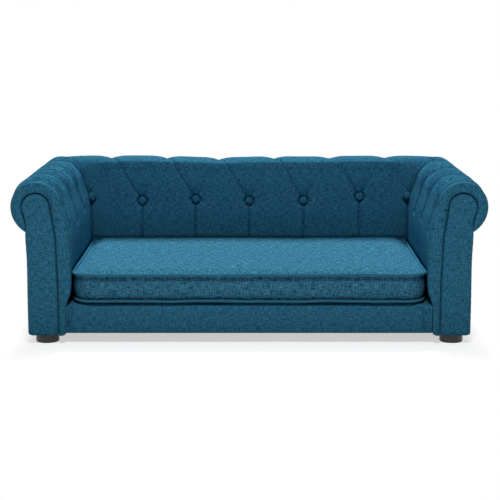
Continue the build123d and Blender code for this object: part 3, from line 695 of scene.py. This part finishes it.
def ring_columns(side):
    """Padded ring at the front of an arm: out of the groove, over its face, to the rounded edge."""
    wide = np.linalg.norm(outer - inner, axis=1)
    direction = (outer - inner) / np.maximum(wide, 1e-6)[:, None]
    ease = np.clip(wide / ring_full_width, 0.03, 1)
    inner_edge = ring_inner_round * ease
    outer_edge = ring_outer_round * ease
    crown = ring_crown * ease
    angle = np.degrees(np.arctan2(inner[:, 1] - roll_z, inner[:, 0])) % 360
    pleats = np.zeros(len(outer))
    random = np.random.default_rng(60 + side)
    for place in ring_pleat_angles:
        at = place + random.uniform(*ring_pleat_stray)
        deep = random.uniform(*ring_pleat_depths)
        pleats += deep * bell(angle, at, random.uniform(*ring_pleat_widths))
    columns = [(-groove_under * ease, groove_back + 0 * wide, 0.0)]
    columns.append((0 * wide, groove_back - 0.2 + 0 * wide, 0.1))
    for turn in np.linspace(0, pi / 2, 6):
        inset = inner_edge * (1 - np.cos(turn))
        columns.append((inset, crown + inner_edge * (1 - np.sin(turn)), 0.5 + 0.5 * np.sin(turn)))
    for share in np.linspace(0, 1, 10)[1:-1]:
        inset = inner_edge + share * (wide - inner_edge - outer_edge)
        columns.append((inset, crown * (2 * share - 1) ** 2, (1 - share) ** 1.5))
    for turn in np.linspace(0, pi / 2, 6)[:-1]:
        inset = wide - outer_edge * (1 - np.sin(turn))
        columns.append((inset, crown * np.cos(turn) + outer_edge * (1 - np.cos(turn)), 0.0))
    made = []
    for inset, back, gathered in columns:
        flat = inner + direction * inset[:, None]
        made.append(on_arm(side)(front + back + pleats * gathered, flat[:, 0], flat[:, 1]))
    ring = np.stack(made, 1)
    ring[..., 1] += lumps(ring, ring_noise) * smooth_step(ring[..., 1], front + 9, front + 5)
    return ring


def arm_cover(side, name, seed, swell):
    """Tufted cover of one arm with its front ring, mitred to the back."""
    tufts, valleys = arm_tufts[side], arm_valleys[side]
    mitre_run = roll_y - mitre_reach
    creases = []
    for i, (run, lift) in enumerate(tufts):
        before = valleys[i - 1] if i else front + first_valley
        creases += tuft_creases(run, lift, before, valleys[i], arm_diagonals)
        creases += gathers(run, lift, seed + i, *tuft_gathers)
    creases += [valley_crease(run, *arm_valley) for run in valleys]
    end = (valleys[-1], valley_rise)
    creases.append(((mitre_run, corner_rise[side]), end, *arm_mitre_crease))
    creases += gathers(mitre_run - 6, corner_rise[side], seed + 7, *mitre_gathers)

    def shape(run, rises, draw, beside):
        ahead = run - front
        off_mitre = smooth_step(beside, *arm_to_mitre)
        relief = sum(deep * smooth_step(run, *at) * bell(rises, *band) for deep, at, band in face_draws)
        drawn = (draw + relief * off_mitre) * smooth_step(ahead, *draw_from_front)
        swelling = swell * bell(rises, shoulder_rise, swell_width) + crest_swell * bell(rises, *crest_band)
        swelling *= smooth_step(ahead, *swell_from_front) * off_mitre
        pressed = arm_pressed + arm_pressed_more * off_mitre
        pressed *= smooth_step(rises, *cushion_band) * smooth_step(ahead, *pressed_from_front)
        return drawn * smooth_step(rises, *deck_fade) - swelling + pressed

    start = valleys[-1] + fan_start
    columns = np.arange(front + ring_end, start, grid_step)
    columns = finer_at(columns, [run for run, _ in tufts] + valleys)
    corner = (roll_y, start)
    body = cover_grid(columns, corner, creases, tufts, corner_rise[side], seed, on_arm(side), shape)
    ring = ring_columns(side)
    points = np.concatenate([ring, body], axis=1)
    outward = np.zeros_like(points)
    outward[..., 0] = side * section_normal[:, :1]
    outward[..., 2] = section_normal[:, 1:]
    outward[:, : ring.shape[1]] = (0, -1, 0)
    piece = cloth_mesh(name, points, thread_coordinates(points), upholstery, outward)
    place_piece(piece, f"arm_cover_{side_names[side]}")


def back_cover():
    """Tufted cover of the back, mitred to both arms, from two halves of one grid."""
    creases = []
    for (run, lift), before, after in zip(back_tufts, back_valleys, back_valleys[1:]):
        creases += tuft_creases(run, lift, before, after, back_diagonals)
    creases += [valley_crease(run, *back_valley) for run in back_valleys]
    for side, valley in ((-1, back_valleys[0]), (1, back_valleys[-1])):
        start = (side * (roll_x - mitre_reach), corner_rise[side])
        creases.append((start, (valley, valley_rise), *back_mitre_crease))
    fullness = np.interp(rise, *zip(*fuller_rises))[:, None]

    def shape(run, rises, draw, beside):
        pressed = back_pressed * smooth_step(rises, *cushion_band)
        full = fullness * smooth_step(beside, *back_to_mitre)
        return draw * smooth_step(rises, *deck_fade) + pressed - full

    start = min(-back_valleys[0], back_valleys[-1]) + fan_start
    lines = [abs(run) for run, _ in back_tufts] + [abs(run) for run in back_valleys]
    columns = finer_at(np.linspace(0, start, int(start / grid_step)), lines)
    halves = []
    for side in (-1, 1):
        own = creases if side > 0 else [mirrored(crease) for crease in creases]
        tufts = [(side * run, lift) for run, lift in back_tufts]
        form = (corner_rise[side], 40, on_back(side), shape)
        halves.append(cover_grid(columns, (roll_x, start), own, tufts, *form))
    points = np.concatenate([halves[0][:, :0:-1], halves[1]], axis=1)
    sag = sum(deep * bell(points[..., 0], run, width) for run, width, deep in back_sags)
    points[..., 2] -= sag * smooth_step(points[..., 2], 230, 300)
    outward = np.zeros_like(points)
    outward[..., 1] = section_normal[:, :1]
    outward[..., 2] = section_normal[:, 1:]
    piece = cloth_mesh("tufted_back", points, thread_coordinates(points), upholstery, outward)
    place_piece(piece, "back_cover")


# Facings, buttons and outside panels


def arm_facing(side, name):
    """Flat padded facing with a rounded border, from rows of points across the scroll."""
    radius = head_radius - groove_gap
    head = roll_z + radius * np.sin(np.linspace(0, 0.995 * pi / 2, 28)[1:])
    z = np.concatenate([np.linspace(arm_bottom, roll_z, 116), head])[:, None]
    columns = 0.5 - 0.5 * np.cos(np.linspace(0, pi, 44))
    circle = np.sqrt(np.clip(radius**2 - (z - roll_z) ** 2, 0, None))
    left = np.where(z > leave[1], -circle, np.interp(z, leg_z, leg_x) + groove_gap)
    outside = outside_reach + sum(deep * bell(z, *band) for *band, deep in facing_swells)
    u = np.clip((z - tuck[1]) / (neck[1] - tuck[1]), 0, 1)
    under_roll = outside * (1 - u) + outside_reach * u
    under_roll += (neck[0] - outside_reach - groove_gap) * u**1.6 - 1.5 * np.sin(pi * u)
    right = np.where(z > neck[1], circle, under_roll)
    corner = np.clip(arm_bottom + facing_corner - z, 0, None)
    cut = facing_corner - np.sqrt(facing_corner**2 - corner**2)
    left, right = left + cut, right - cut
    flat = np.stack(np.broadcast_arrays(left + (right - left) * columns, z), -1)
    border = even_line(np.concatenate([flat[:, 0], flat[-1], flat[::-1, -1], flat[0, ::-1]]), 1.0)
    distance = np.array([np.min(np.hypot(*(border - p).T)) for p in flat.reshape(-1, 2)])
    distance = distance.reshape(flat.shape[:2])
    inset = np.clip(facing_edge - distance, 0, None)
    lift = facing_edge - np.sqrt(np.clip(facing_edge**2 - inset**2, 0, None))
    y = front + facing_recess + lift - facing_dome * (1 - np.exp(-distance / facing_dome_edge))
    points = on_arm(side)(y, flat[..., 0], flat[..., 1])
    points[..., 1] += lumps(points, facing_noise)
    full = np.pad(points, ((1, 0), (1, 1), (0, 0)), mode="edge")
    full[0, :, 1] = front + ring_depth - 0.2
    full[:, [0, -1], 1] = front + ring_depth - 0.2
    cloth = np.stack([full[..., 0], full[..., 2] + full[..., 1]], -1)
    piece = cloth_mesh(name, full, cloth, upholstery, (0, -1.0, 0))
    place_piece(piece, f"arm_facing_{side_names[side]}")


# Radius and height of a button's cloth, from under its rim to its middle
button_profile = [(6.5, -1.5), (7.6, 1.0), (8.4, 3.4), (8.6, 5.0), (8.0, 6.8), (6.2, 8.0)]
button_profile += [(3.4, 8.7), (0.01, 9.0)]


def covered_buttons(name, node, planes):
    """Cloth-covered domed buttons, each gathered under its rim."""
    profile = smooth_line(button_profile, 0.7)
    turns = np.linspace(0, 2 * pi, 44, endpoint=False)
    made = []
    for i, (centre, towards) in enumerate(planes):
        towards = np.array(towards, float) / np.linalg.norm(towards)
        across = np.cross(towards, (0, 0, 1.0))
        across /= np.linalg.norm(across)
        up = np.cross(across, towards)
        under = np.clip(1 - profile[:, 1:] / 3, 0, 1)
        r = profile[:, :1] * (1 + 0.025 * np.cos(13 * turns + i) * under)
        u, v = r * np.cos(turns), r * np.sin(turns)
        points = centre + u[..., None] * across + v[..., None] * up + profile[:, 1:, None] * towards
        cloth = np.stack([u + 40 * i, v], -1)
        outward = points - np.array(centre)
        made.append(cloth_mesh(f"{name}_{i}", points, cloth, upholstery, outward, closed=True))
    place_piece(join_meshes(name, made), node)


# Section of the outside's cloth, from inside the roll's fold down and under the frame
out_x = outside_reach
outside_section = [(out_x - 2.5, tuck[1] + 4.0), (out_x - 0.2, tuck[1] - 2.0)]
outside_section += [(out_x + 0.6, tuck[1] - 14.0), (out_x - 0.5, 120.0)]
outside_section += [(out_x - 0.3, skirt_bottom + 6.0), (out_x - 1.4, skirt_bottom + 1.0)]
outside_section += [(out_x - 4.5, skirt_bottom - 0.4), (out_x - 12.0, skirt_bottom - 0.2)]


def outside_panel(name, node, place, ends, both_corners, seed):
    """Cloth on an outside, turning the rounded corner at its last end or at both."""
    section = smooth_line(outside_section, 4.0)
    first, last = ends
    runs = np.linspace(first, last, int((last - first) / 5))
    bend = np.linspace(0, 1, 8)[1:]
    share = np.concatenate([np.zeros(len(runs)), bend])[None].repeat(len(section), 0)
    reach, height = (line[:, None] + 0 * share for line in section.T)
    along, out, _ = corner_path(last, last, runs, share, reach)
    if both_corners:
        along = np.concatenate([-along[:, : len(runs) - 1 : -1], along], axis=1)
        out = np.concatenate([out[:, : len(runs) - 1 : -1], out], axis=1)
        height = np.concatenate([height[:, : len(bend)], height], axis=1)
    flat = place(along, out, height)
    fade = smooth_step(height, skirt_bottom, skirt_bottom + 20) * smooth_step(height, 216, 204)
    out = out - fade * (0.5 + lumps(flat, (0.5, 80.0, seed), (0.2, 22.0, seed)))
    points = place(along, out, height)
    outward = place(along * 0, 1.0 + 0 * out, height * 0) - place(along * 0, 0 * out, height * 0)
    cloth = np.stack([along, 0 * along - lengths(section)[:, None]], -1)
    piece = cloth_mesh(name, points, cloth, upholstery, outward)
    place_piece(piece, node)


def flat_grid(low, high, step):
    """Grid over a box's plan, and each point's distance from its edge."""
    x = np.linspace(low[0], high[0], int((high[0] - low[0]) / step))
    y = np.linspace(low[1], high[1], int((high[1] - low[1]) / step))
    grid = np.stack(np.meshgrid(x, y, indexing="ij"), -1)
    edge = np.minimum(grid - low[:2], high[:2] - grid).min(-1)
    return grid, edge, np.dstack([grid, 0 * edge])


def underside_cloth():
    """Thin black cloth under the frame, faintly uneven away from its edges."""
    grid, edge, flat = flat_grid(dust_low, dust_high, 6.0)
    z = dust_low[2] + 0.3 + lumps(flat, underside_noise) * np.clip(edge / 30, 0, 1)
    piece = cloth_mesh("underside_cloth", np.dstack([grid, z]), grid, dust_cloth, (0, 0, -1.0))
    place_piece(piece, "dust_cover")


def deck_cloth():
    """Thin pad under the cushion, with rounded edges."""
    grid, edge, flat = flat_grid(pad_low, pad_high, 4.0)
    tall = pad_high[2] - pad_low[2]
    z = pad_low[2] + tall * (0.25 + 0.7 * (1 - np.exp(-edge / 5.0)))
    z += lumps(flat, deck_noise) * np.clip(edge / 10, 0, 1)
    piece = cloth_mesh("deck_cloth", np.dstack([grid, z]), grid, upholstery, (0, 0, 1.0))
    place_piece(piece, "deck_pad")


# Folds at the ends of the rail: place, lean, depth, width, and the share of the height each starts at
rail_folds = (
    (-336.0, 12.0, 5.0, 2.6, 0.0),
    (-341.5, 8.0, 3.6, 2.0, 0.0),
    (334.0, -1.5, 5.0, 2.6, 0.0),
    (343.5, 0.5, 2.6, 1.6, 0.45),
)


def rail_pad():
    """Padded cover of the front rail, with folds at each end."""
    face, top = rail_low[1], rail_high[2]
    section = [(board_front + 4.0, skirt_bottom + 0.4), (face + 6.0, skirt_bottom + 0.8)]
    section += [(face + 1.4, rail_low[2] - 0.4), (face, rail_low[2] + 5.0)]
    section += [(face - 0.8, (rail_low[2] + top) / 2), (face + 0.2, top - 8.0)]
    section += [(face + 2.4, top - 1.8), (face + 8.0, top - 0.4), (face + 22.0, top - 0.4)]
    section = smooth_line([*section, (rail_high[1], top - 0.8)], 1.8)
    x = np.arange(rail_low[0] - 0.8, rail_high[0] + 0.8, 1.8)
    points = np.stack(np.broadcast_arrays(x, section[:, :1], section[:, 1:]), -1)
    run, height = points[..., 0], points[..., 2]
    share = (height - skirt_bottom) / (top - skirt_bottom)
    draw = lumps(points, *rail_noise)
    for place, lean, deep, wide, from_share in rail_folds:
        line = place - lean * (1 - share)
        side = np.sign(place)
        fade = smooth_step(share, from_share - 0.1, from_share + 0.15)
        draw += fade * deep * bell(run, line, wide) - 0.35 * fade * deep * bell(run, line + 4 * side, 3.0)
    on_front = smooth_step(height, top, top - 8) * smooth_step(height, skirt_bottom, rail_low[2] + 3)
    points[..., 1] += draw * on_front
    cloth = np.stack([run, 0 * run + lengths(section)[:, None]], -1)
    piece = cloth_mesh("rail_pad", points, cloth, upholstery, (0, -1.0, 0.3))
    place_piece(piece, "front_rail_cover")


# Cushion


def rounded_square(a, b, half_x, half_y, radius):
    """Point of a rounded rectangle's rings for a and b from -1 to 1."""
    x, y = a * half_x, b * half_y
    ring = np.maximum(abs(a), abs(b))
    weight = np.clip((ring - 0.6) / 0.4, 0, 1) ** 2
    on_x_side = abs(a) >= abs(b)
    reach = np.where(on_x_side, half_y * ring - abs(y), half_x * ring - abs(x))
    angle = pi / 4 - (pi / 4) * np.clip(reach / radius, 0, 1)
    angle = np.where(on_x_side, angle, pi / 2 - angle)
    corner_x = (half_x * ring - radius + radius * np.cos(angle)) * np.sign(x)
    corner_y = (half_y * ring - radius + radius * np.sin(angle)) * np.sign(y)
    near = weight * (reach < radius)
    return x + (corner_x - x) * near, y + (corner_y - y) * near


def edge_distance(x, y, half_x, half_y, radius):
    """How far inside a rounded rectangle a point lies."""
    qx = abs(x) - half_x + radius
    qy = abs(y) - half_y + radius
    outside = np.hypot(np.maximum(qx, 0), np.maximum(qy, 0)) + np.minimum(np.maximum(qx, qy), 0)
    return radius - outside


def outward_of(line):
    """Level unit normals of a closed line, pointing away from its middle."""
    ahead = np.roll(line, -1, 0) - np.roll(line, 1, 0)
    ahead /= np.linalg.norm(ahead, axis=1)[:, None]
    out = np.stack([ahead[:, 1], -ahead[:, 0]], 1)
    return out if ((line - line.mean(0)) * out).sum() > 0 else -out


cushion_centre = (cushion_low + cushion_high) / 2
cushion_half = (cushion_high - cushion_low) / 2
cushion_corner = 32.0
piping_radius = 2.8
high_seam = box_mm("cushion_high_piping")[0][2] + piping_radius
low_seam = box_mm("cushion_low_piping")[0][2] + piping_radius
top_spread = 3.5
side_draw = 1.5
rim_tuck = 0.8
rim_tuck_band = (5.0, 3.0)
crown_rise = 1.5
rear_crown_rise = 6.0
crown_edge = 16.0
belly_edge = 5.0
boxing_bulge = 4.8
seam_draw = 2.4
seam_band = 0.11
piping_outset = 3.2
front_outset = 1.6


def cushion_plan(spread):
    """Grid of the cushion's plan, its sides drawn in a little between the corners."""
    half_x, half_y = cushion_half[0] + spread, cushion_half[1]
    step = 3.2
    a = np.linspace(-1, 1, int(2 * cushion_half[0] / step))
    b = np.linspace(-1, 1, int(2 * cushion_half[1] / step))
    grid_a, grid_b = np.meshgrid(a, b, indexing="ij")
    x, y = rounded_square(grid_a, grid_b, half_x, half_y, cushion_corner)
    inside = np.clip(edge_distance(x, y, half_x, half_y, cushion_corner), 0, None)
    x = x - np.sign(x) * side_draw * (1 - (y / half_y) ** 2) * abs(grid_a) ** 6
    y = y - np.sign(y) * side_draw * (1 - (x / half_x) ** 2) * abs(grid_b) ** 6
    return x + cushion_centre[0], y + cushion_centre[1], inside


def rim_of(x, y):
    flat = np.stack([x, y], -1)
    return np.concatenate([flat[:, 0], flat[-1, 1:], flat[-2::-1, -1], flat[0, -2:0:-1]])


def cushion_cover():
    """Boxed cushion cover: crowned top, drawn-in boxing and flatter belly."""
    x, y, inside = cushion_plan(top_spread)
    flat = np.stack([x, y, 0 * x], -1)
    behind = smooth_step(y, cushion_low[1] + 60, cushion_high[1])
    crown = cushion_high[2] - high_seam + crown_rise + rear_crown_rise * behind
    top = high_seam + crown * (1 - np.exp(-((inside / crown_edge) ** 1.5)))
    soft = np.clip(inside / 14, 0, 1)
    top += soft * lumps(flat, *crown_noise)
    top -= rim_tuck * bell(inside, *rim_tuck_band) * (0.6 + lumps(flat, rim_noise))
    up = np.array([0, 0, 1.0])
    pieces = [cloth_mesh("cushion_top", np.dstack([x, y, top]), flat[..., :2], seat_cloth, up)]
    low_x, low_y, low_inside = cushion_plan(0)
    under = low_seam - (low_seam - cushion_low[2]) * (1 - np.exp(-low_inside / belly_edge))
    low_flat = np.dstack([low_x, low_y])
    belly = np.dstack([low_flat, under])
    pieces.append(cloth_mesh("cushion_under", belly, low_flat, seat_cloth, -up))
    high_rim, low_rim = rim_of(x, y), rim_of(low_x, low_y)
    out = outward_of(low_rim)
    levels = np.linspace(0, 1, 24)[:, None]
    boxing = np.zeros((len(levels), len(low_rim), 3))
    boxing[..., 2] = low_seam + (high_seam - low_seam) * levels
    boxing[..., :2] = low_rim[None] + (high_rim - low_rim)[None] * levels[..., None]
    at_seams = bell(levels, 0, seam_band) + bell(levels, 1, seam_band)
    bulge = boxing_bulge * np.sin(pi * levels**0.85) ** 1.6 - seam_draw * at_seams
    bumps = lumps(boxing * np.array([1, 1, 2.0]), wide_boxing_noise)
    bumps += lumps(boxing * np.array([1, 1, 0.4]), fine_boxing_noise)
    bulge = bulge + bumps * np.sin(pi * levels)
    bulge[[0, -1]] = 0
    boxing[..., :2] += out[None] * bulge[..., None]
    at_zip = (out[:, 1] > 0.9) * smooth_step(abs(low_rim[:, 0]), 262, 252)
    zip_face = box_mm("cushion_zip_tape")[0][1] - 0.1
    pocket = at_zip * smooth_step(abs(levels - 0.5), 0.42, 0.3)
    boxing[..., 1] += pocket * np.minimum(zip_face - boxing[..., 1], 0)
    along = lengths(low_rim)
    cloth = np.stack([along + 0 * levels, boxing[..., 2]], -1)
    outward = np.concatenate([out, np.zeros((len(out), 1))], 1)
    pieces.append(cloth_mesh("cushion_boxing", boxing, cloth, seat_cloth, outward, closed=True))
    piece = join_meshes("seat_cushion_cover", pieces)
    place_piece(piece, "cushion_cover", "seat_cushion")
    return low_rim, high_rim


def piping(name, node, rim, seam, seed):
    """Cord in cloth round one seam of the cushion, a little wavy."""
    out = outward_of(rim)
    line = rim + out * (piping_outset + front_outset * np.clip(-out[:, 1:], 0, 1) ** 4)
    line = even_line(np.vstack([line, line[:1]]), 3.0)[:-1]
    side = outward_of(line)
    at = np.column_stack([line, np.zeros(len(line))])
    wave = lumps(at, (1.3, 75.0, seed), (0.5, 20.0, seed + 1))
    turns = np.linspace(0, 2 * pi, 13)
    points = np.zeros((len(turns), len(line), 3))
    points[..., :2] = line + side * (piping_radius * np.cos(turns))[:, None, None]
    points[..., 2] = seam + wave + (piping_radius * np.sin(turns))[:, None]
    centre = np.column_stack([line, seam + wave])
    along = lengths(line)
    around = (turns * piping_radius)[:, None]
    cloth = np.stack([along + around, around - along], -1)
    piece = cloth_mesh(name, points, cloth, piping_cloth, points - centre, closed=True)
    place_piece(piece, node, "seat_cushion")


arm_cover(-1, "tufted_arm_left", 100, 6.0)
arm_cover(1, "tufted_arm_right", 200, 4.0)
back_cover()
arm_facing(-1, "scroll_facing_left")
arm_facing(1, "scroll_facing_right")
for side, name in side_names.items():
    planes = [
        ((side * (roll_x - button_reach), run, tuft_height + lift), (-side, 0, 0))
        for run, lift in arm_tufts[side]
    ]
    covered_buttons(f"covered_buttons_{name}", f"arm_buttons_{name}", planes)
    runs = (front + ring_depth - 3.0, roll_y)
    node, board = f"outside_arm_cover_{name}", f"arm_outer_board_{name}"
    outside_panel(f"outer_panel_{name}", node, on_arm(side), runs, False, 11)
planes = [((run, roll_y - button_reach, tuft_height + lift), (0, -1, 0)) for run, lift in back_tufts]
for side in (-1, 1):
    centre = (
        side * (roll_x - corner_button_reach[0]),
        roll_y - corner_button_reach[1],
        tuft_height + corner_rise[side],
    )
    planes.append((centre, (-side * 0.5, -1, 0)))
covered_buttons("covered_buttons_back", "back_buttons", planes)
node, board = "outside_back_cover", "back_outer_board"
outside_panel("outer_panel_back", node, on_back(1), (-roll_x, roll_x), True, 12)
underside_cloth()
rail_pad()
deck_cloth()
low_rim, high_rim = cushion_cover()
piping("seat_low_piping", "cushion_low_piping", low_rim, low_seam, 51)
piping("seat_high_piping", "cushion_high_piping", high_rim, high_seam, 61)

# The CAD nodes get finished materials, for those of them that stay
slot_of = {row["node"]: row["material_slot"] for row in frame["record"]["subparts"]}
for name, cad in frame["nodes"].items():
    cad.data.materials.clear()
    cad.data.materials.append(node_materials.get(slot_of.get(name), upholstery))

# Camera, found from the photograph's outline
camera_distance = 2.889
camera_height = 0.636
camera_pitch = 9.80
image_width = 500
focal_pixels = 1412.2
centre_pixel = 249.37
camera_data = bpy.data.cameras.new("camera")
camera_data.sensor_width = 36.0
camera_data.lens = focal_pixels / image_width * camera_data.sensor_width
camera_data.shift_x = (image_width / 2 - centre_pixel) / image_width
camera = bpy.data.objects.new("camera", camera_data)
camera.location = (0, -camera_distance, camera_height)
camera.rotation_euler = (radians(90 - camera_pitch), 0, 0)
bpy.context.scene.collection.objects.link(camera)
bpy.context.scene.camera = camera


# Floor, world and lamps


def seen_rays(tree):
    """1 for rays that show the background: camera, glossy and transmission rays."""
    path = tree.nodes.new("ShaderNodeLightPath")
    seen = math_node(tree, "MAXIMUM", path.outputs["Is Camera Ray"], path.outputs["Is Glossy Ray"])
    return math_node(tree, "MAXIMUM", seen, path.outputs["Is Transmission Ray"])


def mix_shaders(tree, factor, first, second):
    mix = tree.nodes.new("ShaderNodeMixShader")
    feed(tree, mix.inputs, (factor, first.outputs[0], second.outputs[0]))
    return mix


# Where the floor turns plain white: axis, distance from the middle, and how fast, in metres
white_beyond = (("X", 0.40, 0.06), ("Y", 0.265, 0.13))
ambient = 0.03
floor_glow = 0.57


def floor_material():
    """White floor that keeps the shadow near the object and is plain white farther off."""
    material, tree, shader = new_material("floor")
    tree.nodes.remove(shader)
    out = tree.nodes["Material Output"]
    diffuse = add_node(tree, "ShaderNodeBsdfDiffuse", Color=(0.85, 0.85, 0.85, 1))
    glow = add_node(tree, "ShaderNodeEmission", Color=(1, 1, 1, 1), Strength=floor_glow)
    near = tree.nodes.new("ShaderNodeAddShader")
    white = add_node(tree, "ShaderNodeEmission", Color=(1, 1, 1, 1), Strength=1.0)
    place = tree.nodes.new("ShaderNodeTexCoord")
    split = tree.nodes.new("ShaderNodeSeparateXYZ")
    tree.links.new(place.outputs["Object"], split.inputs[0])
    beyond = []
    for axis, half, fade in white_beyond:
        across = math_node(tree, "ABSOLUTE", split.outputs[axis])
        beyond.append(math_node(tree, "MULTIPLY_ADD", across, 1 / fade, -half / fade))
    far = math_node(tree, "MINIMUM", math_node(tree, "MAXIMUM", *beyond), 1.0)
    far = math_node(tree, "MAXIMUM", far, 0.0)
    feed(tree, near.inputs, (diffuse.outputs[0], glow.outputs[0]))
    backdrop = mix_shaders(tree, far, near, white)
    mixed = mix_shaders(tree, seen_rays(tree), diffuse, backdrop)
    tree.links.new(mixed.outputs[0], out.inputs["Surface"])
    return material


def lamp(name, place, target, size, power):
    data = bpy.data.lights.new(name, "AREA")
    data.shape = "RECTANGLE"
    data.size, data.size_y = size
    data.energy = power
    made = bpy.data.objects.new(name, data)
    made.location = place
    made.rotation_euler = (Vector(target) - Vector(place)).to_track_quat("-Z", "Y").to_euler()
    bpy.context.scene.collection.objects.link(made)


bpy.ops.mesh.primitive_plane_add(size=30, location=(0, 0, 0))
floor = bpy.context.object
floor.name = "floor"
floor.data.materials.append(floor_material())

world = bpy.data.worlds.new("world")
bpy.context.scene.world = world
world.use_nodes = True
background = world.node_tree.nodes["Background"]
level = math_node(world.node_tree, "MULTIPLY_ADD", seen_rays(world.node_tree), 1 - ambient, ambient)
world.node_tree.links.new(level, background.inputs["Strength"])
background.inputs["Color"].default_value = (1, 1, 1, 1)
lamp("top_lamp", place=(-0.1, 2.2, 3.8), target=(0, -0.1, 0.1), size=(1.2, 1.2), power=166)
lamp("front_lamp", place=(0, -1.7, 3.2), target=(0, 0, 0.15), size=(0.6, 0.6), power=44)

bpy.context.scene.view_settings.view_transform = "Standard"
